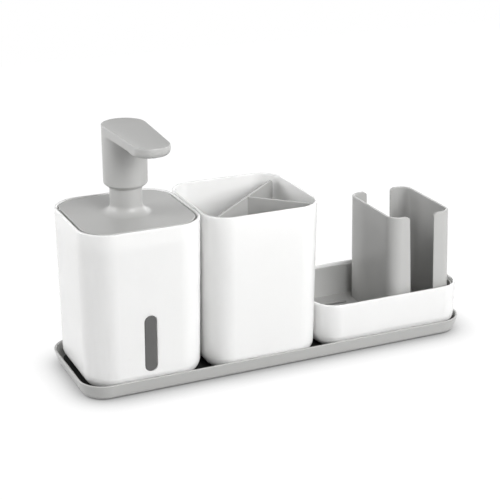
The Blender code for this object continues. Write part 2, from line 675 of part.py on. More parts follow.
def make_nozzle_tube():
    """A socket for the stem, a flange that centres it in the sleeve, and an arm to the nozzle."""
    material = natural_plastic("nozzle tube")
    flange_radius = CAVITY_RADIUS - SEAT_GAP
    flange_top = CHANNEL_LEVEL - SEAT_GAP
    flange_low = flange_top - SPOUT_FLANGE_THICKNESS
    profile = [(SPOUT_SOCKET_RADIUS, SPOUT_BOTTOM), (SPOUT_SOCKET_RADIUS, flange_low)]
    profile += [(flange_radius, flange_low), (flange_radius, flange_top)]
    profile += [(SPOUT_SOCKET_RADIUS, flange_top), (SPOUT_SOCKET_RADIUS, CHANNEL_TOP)]
    tube = pump_turned("nozzle_tube", profile, material, through=False)

    half = CHANNEL_HALF_WIDTH
    arm_end = NOZZLE_Y - NOZZLE_RADIUS
    low = (BOTTLE_X - half, arm_end, CHANNEL_LEVEL)
    arm = block("arm to the nozzle", low, (BOTTLE_X + half, 0, CHANNEL_TOP), material)
    join(tube, arm)
    nozzle_low = HEAD_TOP - TIP_THICKNESS
    nozzle_top = CHANNEL_LEVEL + CUT_OVERRUN
    profile = [(NOZZLE_RADIUS - SEAT_GAP, nozzle_low), (NOZZLE_RADIUS - SEAT_GAP, nozzle_top)]
    nozzle = turned("nozzle", profile, material, x=BOTTLE_X, y=NOZZLE_Y)
    join(tube, nozzle)

    socket_top = STEM_TOP + SEAT_GAP
    socket_bore = STEM_RADIUS + SEAT_GAP
    middle = (CHANNEL_LEVEL + CHANNEL_TOP) / 2
    profile = [(socket_bore, SPOUT_BOTTOM - CUT_OVERRUN), (socket_bore, socket_top)]
    profile += [(CHANNEL_BORE, socket_top), (CHANNEL_BORE, middle)]
    socket = turned("stem socket", profile, material, x=BOTTLE_X)
    cut(tube, socket)
    low = (BOTTLE_X - CHANNEL_BORE, NOZZLE_Y - CHANNEL_BORE, middle - CHANNEL_BORE)
    high = (BOTTLE_X + CHANNEL_BORE, CHANNEL_BORE, middle + CHANNEL_BORE)
    channel = block("soap channel", low, high, material)
    cut(tube, channel)
    profile = [(CHANNEL_BORE, nozzle_low - CUT_OVERRUN), (CHANNEL_BORE, middle)]
    outlet = turned("outlet", profile, material, x=BOTTLE_X, y=NOZZLE_Y)
    cut(tube, outlet)
    turn_with_head(tube, arm, nozzle, socket, channel, outlet)
    set_origin(tube, BOTTLE_X, 0, SPOUT_BOTTOM)


# Pot and its divider
def make_pot():
    rings = vessel_rings(VESSEL_LENGTH / 2, VESSEL_DEPTH / 2, POT_CORNER, RIM_LEVEL, POT_X, [])
    pot = loft("pot", rings, white_plastic("pot"))
    set_origin(pot, POT_X, 0, VESSEL_BASE)


def rounded_end(reach, top, bottom):
    """Side view of one free end of a divider wall, from its foot up to its top: (reach, level)."""
    points = []
    foot_reach = reach - DRAFT_SHARE * (top - bottom)
    for step in range(FILLET_POINTS):
        angle = math.radians(90) * step / (FILLET_POINTS - 1)
        inset = DIVIDER_FOOT_ROUND * (1 - math.sin(angle))
        points.append((foot_reach - inset, bottom + DIVIDER_FOOT_ROUND * (1 - math.cos(angle))))
    for step in range(FILLET_POINTS):
        angle = math.radians(90) * step / (FILLET_POINTS - 1)
        inset = DIVIDER_TOP_ROUND * (1 - math.cos(angle))
        points.append((reach - inset, top - DIVIDER_TOP_ROUND * (1 - math.sin(angle))))
    return points


def divider_wall(name, side_view, along, start, material):
    """A flat wall: its side view, in (distance along, level), given the wall's thickness."""
    across = Vector((-along.y, along.x, 0)) * (DIVIDER_WALL / 2)
    faces = []
    for side in (-1, 1):
        faces.append([start + along * s + Vector((0, 0, z)) + across * side for s, z in side_view])
    return loft(name, faces, material)


def reach_to_corner(start, way, side_x, side_y):
    """Distance from a point, counted from the pot's middle, to the inside of one rounded corner."""
    inset = VESSEL_WALL + DRAFT_SHARE * DIVIDER_DROP
    corner = POT_CORNER - inset
    centre_x = side_x * (VESSEL_LENGTH / 2 - inset - corner)
    centre_y = side_y * (VESSEL_DEPTH / 2 - inset - corner)
    to_centre = Vector((centre_x, centre_y, 0)) - start
    ahead = to_centre.dot(way)
    aside = to_centre.length_squared - ahead ** 2
    return ahead + math.sqrt(corner ** 2 - aside) - DIVIDER_END_GAP - DIVIDER_WALL / 2


def heading(degrees):
    return Vector((math.cos(math.radians(degrees)), math.sin(math.radians(degrees)), 0))


def make_pot_divider():
    top = RIM_LEVEL - DIVIDER_DROP
    bottom = VESSEL_FLOOR_LEVEL + SEAT_GAP
    middle = Vector((POT_X, 0, 0))
    material = grey_plastic("pot divider")

    # The long wall runs from the front left corner to the back right one
    way = heading(DIVIDER_ANGLE_DEGREES)
    far_end = rounded_end(reach_to_corner(Vector((0, 0, 0)), way, 1, 1), top, bottom)
    near_end = rounded_end(reach_to_corner(Vector((0, 0, 0)), -way, -1, -1), top, bottom)
    side_view = far_end + [(-s, z) for s, z in reversed(near_end)]
    divider = divider_wall("pot_divider", side_view, way, middle, material)

    # The branch leaves it a little behind the middle and ends in the front right corner
    start = way * BRANCH_OFFSET
    way = heading(BRANCH_ANGLE_DEGREES)
    side_view = rounded_end(reach_to_corner(start, way, 1, -1), top, bottom) + [(0, top), (0, bottom)]
    join(divider, divider_wall("divider branch", side_view, way, middle + start, material))
    set_origin(divider, POT_X, 0, bottom)


# Dish, drainer and sponge guards
def make_dish():
    rings = vessel_rings(DISH_LENGTH / 2, DISH_DEPTH / 2, DISH_CORNER, DISH_LEVEL, DISH_X, [])
    dish = loft("dish", rings, white_plastic("dish"))
    set_origin(dish, DISH_X, 0, VESSEL_BASE)


def guard_outline(guard_x, opens, front_flange, back_flange, grow):
    """Plan of a C-shaped wall that opens towards +X (opens 1) or -X (opens -1)."""
    outline = []
    for order, radius in ((1, GUARD_CORNER + grow), (-1, GUARD_CORNER - GUARD_WALL - grow)):
        centre_y = GUARD_HALF_DEPTH - GUARD_CORNER
        path = [(front_flange + grow, -centre_y - radius)]
        for corner, side in enumerate((-1, 1)):
            for step in range(GUARD_POINTS):
                angle = math.radians(270) - math.radians(90) * (corner + step / (GUARD_POINTS - 1))
                x = GUARD_CORNER + radius * math.cos(angle)
                path.append((x, side * centre_y + radius * math.sin(angle)))
        path.append((back_flange + grow, centre_y + radius))
        outline += path[::order]
    return [(guard_x + opens * x, y) for x, y in outline]


def guard_ring(place, level, shorter=0, grow=0):
    """A guard's plan at a level: it leans a little, and its flanges may widen towards the foot."""
    drop = GUARD_TOP - level
    widening = place["widening_share"] * drop - shorter
    x = place["x"] + place["lean_share"] * drop
    plan = guard_outline(x, place["opens"], place["front"] + widening, place["back"] + widening, grow)
    return at_level(plan, level)


def guard_places():
    left = {"x": LEFT_GUARD_X, "opens": 1, "front": LEFT_FLANGE, "back": LEFT_FLANGE}
    left.update(lean_share=LEFT_LEAN_SHARE, widening_share=LEFT_WIDENING_SHARE)
    right = {"x": RIGHT_GUARD_X, "opens": -1, "front": RIGHT_FLANGE, "back": RIGHT_BACK_FLANGE}
    right.update(lean_share=RIGHT_LEAN_SHARE, widening_share=RIGHT_WIDENING_SHARE)
    return {"sponge_guard_left": left, "sponge_guard_right": right}


def make_guards():
    for name, place in guard_places().items():
        rings = [guard_ring(place, INSERT_UNDERSIDE)]
        for step in range(FILLET_POINTS):
            angle = math.radians(90) * step / (FILLET_POINTS - 1)
            level = GUARD_TOP - GUARD_TOP_ROUND * (1 - math.sin(angle))
            rings.append(guard_ring(place, level, GUARD_TOP_ROUND * (1 - math.cos(angle))))
        guard = loft(name, rings, grey_plastic(name))
        set_origin(guard, place["x"], 0, INSERT_UNDERSIDE)


def insert_ring(inset, level):
    outer = VESSEL_WALL + INSERT_GAP + inset
    return vessel_ring(DISH_LENGTH / 2, DISH_DEPTH / 2, DISH_CORNER, DISH_LEVEL, DISH_X, outer, level)


def slot_cutter(name, x, y, length, material):
    outline = corner_ring(length / 2, SLOT_WIDTH / 2, SLOT_WIDTH / 2 * WINDOW_ROUND_SHARE)
    low = INSERT_UNDERSIDE - CUT_OVERRUN
    high = INSERT_FLOOR_LEVEL + CUT_OVERRUN
    return loft(name, [at_level(outline, low, x, y), at_level(outline, high, x, y)], material)


def make_drainer_insert():
    top = DISH_LEVEL - INSERT_DROP
    rings = [insert_ring(inset, INSERT_UNDERSIDE + rise) for inset, rise in quarter_fillet(INSERT_FILLET)]
    rings.append(insert_ring(0, top))
    rings.append(insert_ring(INSERT_WALL, top))
    for inset, rise in reversed(quarter_fillet(INSERT_INNER_FILLET)):
        rings.append(insert_ring(INSERT_WALL + inset, INSERT_FLOOR_LEVEL + rise))
    material = grey_plastic("drainer insert")
    insert = loft("drainer_insert", rings, material)

    # Short pegs keep its floor above the water in the dish
    peg = [(PEG_RADIUS, VESSEL_FLOOR_LEVEL + SEAT_GAP), (PEG_RADIUS, INSERT_UNDERSIDE + INSERT_FLOOR / 2)]
    for side_x in (-1, 1):
        for side_y in (-1, 1):
            x = DISH_X + side_x * (DISH_LENGTH / 2 - PEG_INSET)
            y = side_y * (DISH_DEPTH / 2 - PEG_INSET)
            join(insert, turned("drainer peg", peg, material, x=x, y=y))

    # Each guard stands in a slot of its own outline
    low = INSERT_UNDERSIDE - CUT_OVERRUN
    high = INSERT_FLOOR_LEVEL + CUT_OVERRUN
    for place in guard_places().values():
        rings = [guard_ring(place, level, grow=SEAT_GAP) for level in (low, high)]
        cut(insert, loft("guard slot", rings, material))

    # Drain slots in the open part of the floor and between the guards
    slot_start = DISH_X - DISH_LENGTH / 2 + VESSEL_WALL + INSERT_GAP + INSERT_WALL + SLOT_END_GAP
    slot_end = LEFT_GUARD_X - SLOT_GUARD_GAP
    slot_x = (slot_start + slot_end) / 2
    lean_share = (LEFT_LEAN_SHARE + RIGHT_LEAN_SHARE) / 2
    sponge_x = (LEFT_GUARD_X + RIGHT_GUARD_X) / 2 + lean_share * (GUARD_TOP - INSERT_FLOOR_LEVEL)
    for i in range(SLOT_COUNT):
        y = SLOT_PITCH * (i - (SLOT_COUNT - 1) / 2)
        cut(insert, slot_cutter("drain slot", slot_x, y, slot_end - slot_start, material))
        cut(insert, slot_cutter("sponge drain slot", sponge_x, y, SHORT_SLOT_LENGTH, material))
    set_origin(insert, DISH_X, 0, INSERT_UNDERSIDE)


# Tray
def tray_flare(level):
    """How far the wall has drawn in at a level, counted from the rim."""
    return TRAY_FLARE * (TRAY_HEIGHT - level) / (TRAY_HEIGHT - TRAY_UNDERSIDE)


def tray_ring(inset, level):
    offset = inset + tray_flare(level)
    ring = corner_ring(TRAY_LENGTH / 2 - offset, TRAY_DEPTH / 2 - offset, TRAY_CORNER - offset)
    return at_level(ring, level)


def foot_places():
    places = {}
    for end, side_x in (("left", -1), ("right", 1)):
        for face, side_y in (("front", -1), ("back", 1)):
            x = side_x * (TRAY_LENGTH / 2 - FOOT_INSET_X)
            places["tray_foot_" + face + "_" + end] = (x, side_y * (TRAY_DEPTH / 2 - FOOT_INSET_Y))
    return places


def make_tray():
    steps = [(inset, TRAY_UNDERSIDE + rise) for inset, rise in quarter_fillet(TRAY_FILLET)]
    steps.append((0, TRAY_HEIGHT - RIM_ROUND))
    steps.append((RIM_ROUND, TRAY_HEIGHT))
    steps.append((TRAY_WALL - RIM_ROUND, TRAY_HEIGHT))
    steps.append((TRAY_WALL, TRAY_HEIGHT - RIM_ROUND))
    for inset, rise in reversed(quarter_fillet(TRAY_INNER_FILLET)):
        steps.append((TRAY_WALL + inset, TRAY_FLOOR_LEVEL + rise))
    material = grey_plastic("tray")
    tray = loft("tray", [tray_ring(inset, level) for inset, level in steps], material)
    recess = FOOT_RADIUS + SEAT_GAP
    profile = [(recess, TRAY_UNDERSIDE - CUT_OVERRUN), (recess, RECESS_LEVEL)]
    for x, y in foot_places().values():
        cut(tray, turned("foot recess", profile, material, x, y))


def make_tray_mat():
    offset = TRAY_WALL + TRAY_INNER_FILLET + MAT_MARGIN + tray_flare(MAT_BOTTOM)
    ring = corner_ring(TRAY_LENGTH / 2 - offset, TRAY_DEPTH / 2 - offset, TRAY_CORNER - offset)
    rings = [at_level(ring, MAT_BOTTOM), at_level(ring, MAT_BOTTOM + MAT_THICKNESS)]
    loft("tray_mat", rings, black_rubber("tray mat"))


def make_tray_feet():
    for name, (x, y) in foot_places().items():
        profile = [(FOOT_RADIUS, 0), (FOOT_RADIUS, RECESS_LEVEL - SEAT_GAP)]
        turned(name, profile, black_rubber(name), x, y)


clear_scene()
make_tray()
make_tray_mat()
make_tray_feet()
make_bottle()
make_level_window()
make_lid()
make_lid_seal()
make_housing()
make_housing_gasket()
make_stem_guide()
make_dip_tube()
make_stem()
make_piston()
make_spring()
make_balls()
make_pump_head()
make_nozzle_tube()
make_pot()
make_pot_divider()
make_dish()
make_drainer_insert()
make_guards()
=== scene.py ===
import math

import bmesh
import bpy
from mathutils import Matrix, Vector


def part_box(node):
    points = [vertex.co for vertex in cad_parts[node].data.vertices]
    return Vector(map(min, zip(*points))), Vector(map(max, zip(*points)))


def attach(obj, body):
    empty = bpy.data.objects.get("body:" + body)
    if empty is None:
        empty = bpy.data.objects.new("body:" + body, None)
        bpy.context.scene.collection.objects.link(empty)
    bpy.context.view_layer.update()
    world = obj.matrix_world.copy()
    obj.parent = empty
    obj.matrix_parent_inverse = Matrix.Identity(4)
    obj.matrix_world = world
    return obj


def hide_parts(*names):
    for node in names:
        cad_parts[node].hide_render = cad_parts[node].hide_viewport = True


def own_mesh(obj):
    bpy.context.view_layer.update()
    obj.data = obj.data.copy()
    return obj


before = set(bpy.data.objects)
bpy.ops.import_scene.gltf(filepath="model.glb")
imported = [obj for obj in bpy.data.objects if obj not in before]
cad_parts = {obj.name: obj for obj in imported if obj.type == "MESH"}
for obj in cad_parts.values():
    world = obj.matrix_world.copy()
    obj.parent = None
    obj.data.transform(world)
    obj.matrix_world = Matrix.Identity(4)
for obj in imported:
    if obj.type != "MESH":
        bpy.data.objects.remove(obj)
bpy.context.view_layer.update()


# Camera: a long lens, a little left of the organizer's front and looking down on it.
LENS = 96.785
CAMERA_PLACE = (-0.382068, -0.807023, 0.409961)
CAMERA_HEADING = math.radians(24.7713)
CAMERA_DOWN = math.radians(20.6852)
CAMERA_ROLL = math.radians(-0.1922)


def add_object(name, data):
    thing = bpy.data.objects.new(name, data)
    bpy.context.scene.collection.objects.link(thing)
    return thing


camera = add_object("camera", bpy.data.cameras.new("camera"))
camera.data.lens = LENS
camera.data.sensor_width = 36
camera.data.clip_start = 0.01
camera.data.clip_end = 50
turn = Matrix.Rotation(-CAMERA_HEADING, 4, "Z")
tilt = Matrix.Rotation(math.radians(90) - CAMERA_DOWN, 4, "X")
roll = Matrix.Rotation(-CAMERA_ROLL, 4, "Z")
camera.matrix_world = Matrix.Translation(CAMERA_PLACE) @ turn @ tilt @ roll
bpy.context.scene.camera = camera


# Tray: an injection moulded shell of grey satin plastic. Its low wall flares outwards, its rim
# is rounded, and four shallow recesses in its underside take the rubber feet.
class Wire:
    """One output of a node. Sums and products of wires add the Math nodes that work them out."""

    def __init__(self, tree, socket):
        self.tree = tree
        self.socket = socket

    def work_out(self, operation, first, second):
        settings = {"operation": operation}
        return add_node(self.tree, "ShaderNodeMath", settings, {0: first, 1: second})

    def __add__(self, other):
        return self.work_out("ADD", self, other)

    def __mul__(self, other):
        return self.work_out("MULTIPLY", self, other)

    def __sub__(self, other):
        return self.work_out("SUBTRACT", self, other)

    def __rsub__(self, other):
        return self.work_out("SUBTRACT", other, self)


def add_node(tree, kind, settings, inputs, output=0):
    """Any node: its settings come first, then a value or a wire for each socket."""
    node = tree.nodes.new(kind)
    for name, value in settings.items():
        setattr(node, name, value)
    for key, value in inputs.items():
        if isinstance(value, Wire):
            tree.links.new(value.socket, node.inputs[key])
        else:
            node.inputs[key].default_value = value
    return Wire(tree, node.outputs[output])


def start_material(name):
    material = bpy.data.materials.new(name)
    material.use_nodes = True
    tree = material.node_tree
    place = add_node(tree, "ShaderNodeTexCoord", {}, {}, "Object")
    return material, tree, place


def noise(tree, place, scale, detail=2.0):
    inputs = {"Vector": place, "Scale": scale, "Detail": detail}
    return add_node(tree, "ShaderNodeTexNoise", {}, inputs)


def blend_colors(tree, share, first, second):
    inputs = {0: share, 6: (*first, 1), 7: (*second, 1)}
    return add_node(tree, "ShaderNodeMix", {"data_type": "RGBA"}, inputs, 2)


def bump(tree, height, depth):
    inputs = {"Height": height, "Distance": depth, "Strength": 1}
    return add_node(tree, "ShaderNodeBump", {}, inputs)


def dress(material, **sockets):
    """Set or link the sockets of the material's own shader, named with underscores for spaces."""
    tree = material.node_tree
    shader = tree.nodes["Principled BSDF"]
    for name, value in sockets.items():
        socket = shader.inputs[name.replace("_", " ")]
        if isinstance(value, Wire):
            tree.links.new(value.socket, socket)
        else:
            socket.default_value = value
    return material


GREY_DARK = (0.424, 0.424, 0.416)
GREY_LIGHT = (0.456, 0.456, 0.448)
GREY_ROUGHNESS = 0.33
GREY_GRAIN_DEPTH = 0.000012


def make_grey_satin():
    """Spark-eroded satin: a fine even grain, and a tone that drifts slightly over the moulding."""
    material, tree, place = start_material("grey satin plastic")
    drift = noise(tree, place, 24)
    grain = noise(tree, place, 2400)
    cloud = noise(tree, place, 260)
    tone = blend_colors(tree, drift * 0.7 + grain * 0.3, GREY_DARK, GREY_LIGHT)
    roughness = cloud * 0.05 + drift * 0.05 + GREY_ROUGHNESS
    relief = bump(tree, grain, GREY_GRAIN_DEPTH)
    return dress(material, Base_Color=tone, Roughness=roughness, Normal=relief,
                 Specular_IOR_Level=0.55)


grey_satin = make_grey_satin()


CORNER_POINTS = 16
SHARP_ANGLE = math.radians(32)
OVERCUT = 0.001  # how far a cutter starts outside the face that it cuts
TRAY_HALF_LENGTH = 0.1478
TRAY_HALF_DEPTH = 0.0436
TRAY_RIM_LEVEL = 0.0117
TRAY_CORNER = 0.0186
TRAY_FLARE = 0.0034
TRAY_WALL = 0.0015
TRAY_UNDERSIDE = 0.0006
TRAY_FLOOR_LEVEL = 0.0024
TRAY_FLOOR_INSET = 0.0080
TRAY_FOOT_ROUND = 0.0022
TRAY_RIM_ROUND = 0.0006
TRAY_INNER_ROUND = 0.0016
FOOT_RADIUS = 0.0060
FOOT_RECESS_LEVEL = 0.0014
FOOT_RECESS_PLAY = 0.0003
FOOT_PLACES = {
    "front_left": (-0.1238, -0.0256),
    "front_right": (0.1238, -0.0256),
    "back_left": (-0.1238, 0.0256),
    "back_right": (0.1238, 0.0256),
}


def soften(corners, closed=False, steps=6, margin=0.00015):
    """Round the corners of a side view, listed as (across, level, radius).

    A point just past each round, by the margin, holds the flat beside it flat.
    """
    points = [Vector(corner[:2]) for corner in corners]
    count = len(points)
    inner = range(count) if closed else range(1, count - 1)
    halves = [math.radians(90)] * count
    runs = [0] * count
    for i in inner:
        before = points[i - 1] - points[i]
        after = points[(i + 1) % count] - points[i]
        halves[i] = before.angle(after) / 2
        runs[i] = corners[i][2] / math.tan(halves[i])
    softened = []
    for i in range(count):
        radius = corners[i][2]
        if i not in inner or radius == 0:
            softened.append(points[i])
            continue
        neighbours = (i - 1, (i + 1) % count)
        ways = [points[j] - points[i] for j in neighbours]
        spare = [way.length - runs[i] - runs[j] for way, j in zip(ways, neighbours)]
        for way in ways:
            way.normalize()
        centre = points[i] + (ways[0] + ways[1]).normalized() * (radius / math.sin(halves[i]))
        start = points[i] + ways[0] * runs[i] - centre
        end = points[i] + ways[1] * runs[i] - centre
        sweep = math.radians(180) - 2 * halves[i]
        if spare[0] > 3 * margin:
            softened.append(centre + start + ways[0] * margin)
        for step in range(steps + 1):
            share = step / steps
            spread = start * math.sin((1 - share) * sweep) + end * math.sin(share * sweep)
            softened.append(centre + spread / math.sin(sweep))
        if spare[1] > 3 * margin:
            softened.append(centre + end + ways[1] * margin)
    return [(point.x, point.y) for point in softened]


def corner_ring(half_x, half_y, radius, level, x=0):
    """A rounded rectangle at a level, anticlockwise from its right side."""
    ring = []
    for corner, (side_x, side_y) in enumerate(((1, 1), (-1, 1), (-1, -1), (1, -1))):
        for step in range(CORNER_POINTS):
            angle = math.radians(90) * (corner + step / (CORNER_POINTS - 1))
            across = x + side_x * (half_x - radius) + radius * math.cos(angle)
            along = side_y * (half_y - radius) + radius * math.sin(angle)
            ring.append(Vector((across, along, level)))
    return ring


def round_ring(radius, level, x=0, y=0):
    count = 4 * CORNER_POINTS
    angles = [math.radians(360) * (i + 0.5) / count for i in range(count)]
    return [
        Vector((x + radius * math.cos(angle), y + radius * math.sin(angle), level))
        for angle in angles
    ]


def skin(name, rings, closed=False, folded=False):
    """A smooth shell over a stack of rings: capped at both ends, closed on itself, or with its
    last ring folded together along a line."""
    builder = bmesh.new()
    rows = [[builder.verts.new(point) for point in ring] for ring in rings]
    pairs = list(zip(rows, rows[1:] + (rows[:1] if closed else [])))
    for lower, upper in pairs:
        for i in range(len(lower)):
            j = (i + 1) % len(lower)
            builder.faces.new((lower[i], lower[j], upper[j], upper[i]))
    if not closed:
        builder.faces.new(rows[0][::-1])
    if not closed and not folded:
        builder.faces.new(rows[-1])
    bmesh.ops.remove_doubles(builder, verts=builder.verts, dist=1e-7)
    bmesh.ops.recalc_face_normals(builder, faces=builder.faces)
    mesh = bpy.data.meshes.new(name)
    builder.to_mesh(mesh)
    builder.free()
    return add_object(name, mesh)


def settle(piece):
    """Work the modifiers of a piece into its mesh."""
    evaluated = piece.evaluated_get(bpy.context.evaluated_depsgraph_get())
    settled = bpy.data.meshes.new_from_object(evaluated)
    piece.modifiers.clear()
    piece.data = settled
    return piece


def shade(piece, material):
    """Smooth over the rounds, keep crisp edges, and let each large flat stay flat."""
    piece.data.materials.clear()
    piece.data.materials.append(material)
    piece.data.shade_smooth()
    piece.data.set_sharp_from_angle(angle=SHARP_ANGLE)
    flats = piece.modifiers.new("flats", "WEIGHTED_NORMAL")
    flats.keep_sharp = True
    return settle(piece)


def carve(piece, cutters, operation="DIFFERENCE"):
    """Cut pieces away, or add them, and leave one plain mesh."""
    for cutter in cutters:
        modifier = piece.modifiers.new("carve", "BOOLEAN")
        modifier.operation = operation
        modifier.solver = "EXACT"
        modifier.object = cutter
    settle(piece)
    for cutter in cutters:
        bpy.data.objects.remove(cutter)
    return piece


def tray_ring(inset, level):
    offset = inset + TRAY_FLARE * (TRAY_RIM_LEVEL - level) / (TRAY_RIM_LEVEL - TRAY_UNDERSIDE)
    half_x = TRAY_HALF_LENGTH - offset
    return corner_ring(half_x, TRAY_HALF_DEPTH - offset, TRAY_CORNER - offset, level)


tray_side = soften([
    (TRAY_FLOOR_INSET, TRAY_UNDERSIDE, 0),
    (0, TRAY_UNDERSIDE, TRAY_FOOT_ROUND),
    (0, TRAY_RIM_LEVEL, TRAY_RIM_ROUND),
    (TRAY_WALL, TRAY_RIM_LEVEL, TRAY_RIM_ROUND),
    (TRAY_WALL, TRAY_FLOOR_LEVEL, TRAY_INNER_ROUND),
    (TRAY_FLOOR_INSET, TRAY_FLOOR_LEVEL, 0),
])
tray = skin("tray_shell", [tray_ring(inset, level) for inset, level in tray_side])
recess_radius = FOOT_RADIUS + FOOT_RECESS_PLAY
recesses = []
for x, y in FOOT_PLACES.values():
    levels = (TRAY_UNDERSIDE - OVERCUT, FOOT_RECESS_LEVEL)
    recesses.append(skin("recess", [round_ring(recess_radius, level, x, y) for level in levels]))
shade(carve(tray, recesses), grey_satin)
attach(tray, "tray")
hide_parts("tray")


# Tray mat: a die-cut sheet of near-black rubber that is laid on the tray's floor. Its face has a
# fine pebbled grain that stops wet vessels from sliding.
MAT_HALF_LENGTH = 0.14164
MAT_HALF_DEPTH = 0.03744
MAT_CORNER = 0.01244
MAT_BOTTOM = 0.0027
MAT_TOP = 0.0036
MAT_EDGE_ROUND = 0.0003
MAT_FACE_INSET = 0.0040
RUBBER_DARK = (0.010, 0.010, 0.010)
RUBBER_LIGHT = (0.030, 0.030, 0.029)


def make_black_rubber(name, pebble, depth):
    material, tree, place = start_material(name)
    pebbles = add_node(tree, "ShaderNodeTexVoronoi", {}, {"Vector": place, "Scale": pebble})
    dust = noise(tree, place, 90, 4.0)
    tone = blend_colors(tree, dust * 0.6 + pebbles * 0.4, RUBBER_DARK, RUBBER_LIGHT)
    relief = bump(tree, 1 - pebbles, depth)
    return dress(material, Base_Color=tone, Roughness=dust * 0.2 + 0.55, Normal=relief,
                 Specular_IOR_Level=0.3)


mat_side = soften([
    (MAT_FACE_INSET, MAT_BOTTOM, 0),
    (0, MAT_BOTTOM, 0),
    (0, MAT_TOP, MAT_EDGE_ROUND),
    (MAT_FACE_INSET, MAT_TOP, 0),
])
mat_rings = []
for inset, level in mat_side:
    half_x = MAT_HALF_LENGTH - inset
    mat_rings.append(corner_ring(half_x, MAT_HALF_DEPTH - inset, MAT_CORNER - inset, level))
mat_rubber = make_black_rubber("pebbled rubber", 900, 0.00012)
mat = shade(skin("anti_slip_sheet", mat_rings), mat_rubber)
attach(mat, "tray")
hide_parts("tray_mat")


# Feet: four small round pads, punched from rubber sheet. They are stuck in the recesses under
# the tray and hold it just clear of the worktop.
FOOT_TOP = 0.0011
FOOT_FACE_RADIUS = 0.0040

foot_rubber = make_black_rubber("foot rubber", 1400, 0.00005)
foot_side = soften([
    (FOOT_FACE_RADIUS, 0, 0),
    (FOOT_RADIUS, 0, 0.0003),
    (FOOT_RADIUS, FOOT_TOP, 0.0001),
    (FOOT_FACE_RADIUS, FOOT_TOP, 0),
])
for corner, (x, y) in FOOT_PLACES.items():
    foot_rings = [round_ring(radius, level, x, y) for radius, level in foot_side]
    foot = skin("rubber_pad_" + corner, foot_rings)
    shade(foot, foot_rubber)
    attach(foot, "tray")
    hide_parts("tray_foot_" + corner)


# Bottle: an injection moulded, drafted cup of white gloss plastic that stands on a narrow rim
# under its base. A ledge inside its mouth carries the lid, and a slot in its front wall takes
# the level window.
BOTTLE_X = -0.1008
VESSEL_HALF_LENGTH = 0.04275
VESSEL_HALF_DEPTH = 0.0425
VESSEL_BASE = 0.0039
VESSEL_FLOOR_LEVEL = 0.0063
VESSEL_RIM_LEVEL = 0.1166
VESSEL_WALL = 0.0019
VESSEL_FILLET = 0.0088
VESSEL_INNER_FILLET = 0.0060
VESSEL_FLOOR_INSET = 0.0140
FOOT_RIM_INSET = 0.0108
FOOT_RIM_SLOPE = 0.0004
FOOT_RIM_RISE = 0.0005
FOOT_RIM_ROUND = 0.0002
RIM_ROUND = 0.0007
DRAFT = 0.011
BOTTLE_CORNER = 0.0211
BOTTLE_FILLET = 0.0104
LEDGE_INSET = 0.0046
LEDGE_LEVEL = 0.1131
LEDGE_DEPTH = 0.0045
LEDGE_TAPER = 0.0030
WINDOW_HALF_WIDTH = 0.0044
WINDOW_HALF_HEIGHT = 0.0203
WINDOW_MIDDLE = 0.0362
WINDOW_LIP = 0.0004
WHITE_DARK = (0.830, 0.830, 0.822)
WHITE_LIGHT = (0.850, 0.850, 0.843)
WHITE_ROUGHNESS = 0.20
WHITE_RIPPLE_DEPTH = 0.00006
WHITE_SCATTER = 0.0035


def make_white_gloss():
    """Polished tool finish: nearly smooth, with the slow ripple that a thin moulded wall has."""
    material, tree, place = start_material("white gloss plastic")
    ripple = noise(tree, place, 40, 1.0)
    grain = noise(tree, place, 1500)
    wipe = noise(tree, place, 160, 3.0)
    tone = blend_colors(tree, ripple, WHITE_DARK, WHITE_LIGHT)
    relief = bump(tree, ripple + grain * 0.01, WHITE_RIPPLE_DEPTH)
    roughness = wipe * 0.07 + WHITE_ROUGHNESS
    return dress(material, Base_Color=tone, Roughness=roughness, Normal=relief,
                 Subsurface_Weight=1, Subsurface_Radius=(1, 1, 1), Subsurface_Scale=WHITE_SCATTER)


white_gloss = make_white_gloss()


def cup_rings(half_x, half_y, corner, x, rim, side):
    """Rings of a drafted cup. Each wall leans in by the draft as it goes down from the rim."""
    rings = []
    for inset, level in side:
        offset = inset + DRAFT * (rim - level)
        rings.append(corner_ring(half_x - offset, half_y - offset, corner - offset, level, x))
    return rings


def cup_side(rim, ledge=(), fillet=VESSEL_FILLET):
    """Side view of a cup's wall, from the middle of its base over the rim to its floor."""
    base = VESSEL_BASE + FOOT_RIM_RISE
    corners = [
        (VESSEL_FLOOR_INSET, base, 0),
        (FOOT_RIM_INSET + FOOT_RIM_SLOPE, base, FOOT_RIM_ROUND),
        (FOOT_RIM_INSET, VESSEL_BASE, FOOT_RIM_ROUND),
        (0, VESSEL_BASE, fillet),
        (0, rim, RIM_ROUND),
        (VESSEL_WALL, rim, RIM_ROUND),
        *ledge,
        (VESSEL_WALL, VESSEL_FLOOR_LEVEL, VESSEL_INNER_FILLET),
        (VESSEL_FLOOR_INSET, VESSEL_FLOOR_LEVEL, 0),
    ]
    return soften(corners, steps=8)


def window_ring(grow, inset):
    """The window's outline, which leans with the bottle's front wall."""
    half_x = WINDOW_HALF_WIDTH + grow
    outline = corner_ring(half_x, WINDOW_HALF_HEIGHT + grow, half_x * 0.99, 0)
    ring = []
    for point in outline:
        level = WINDOW_MIDDLE + point.y
        wall = VESSEL_HALF_DEPTH - inset - DRAFT * (VESSEL_RIM_LEVEL - level)
        ring.append(Vector((BOTTLE_X + point.x, -wall, level)))
    return ring


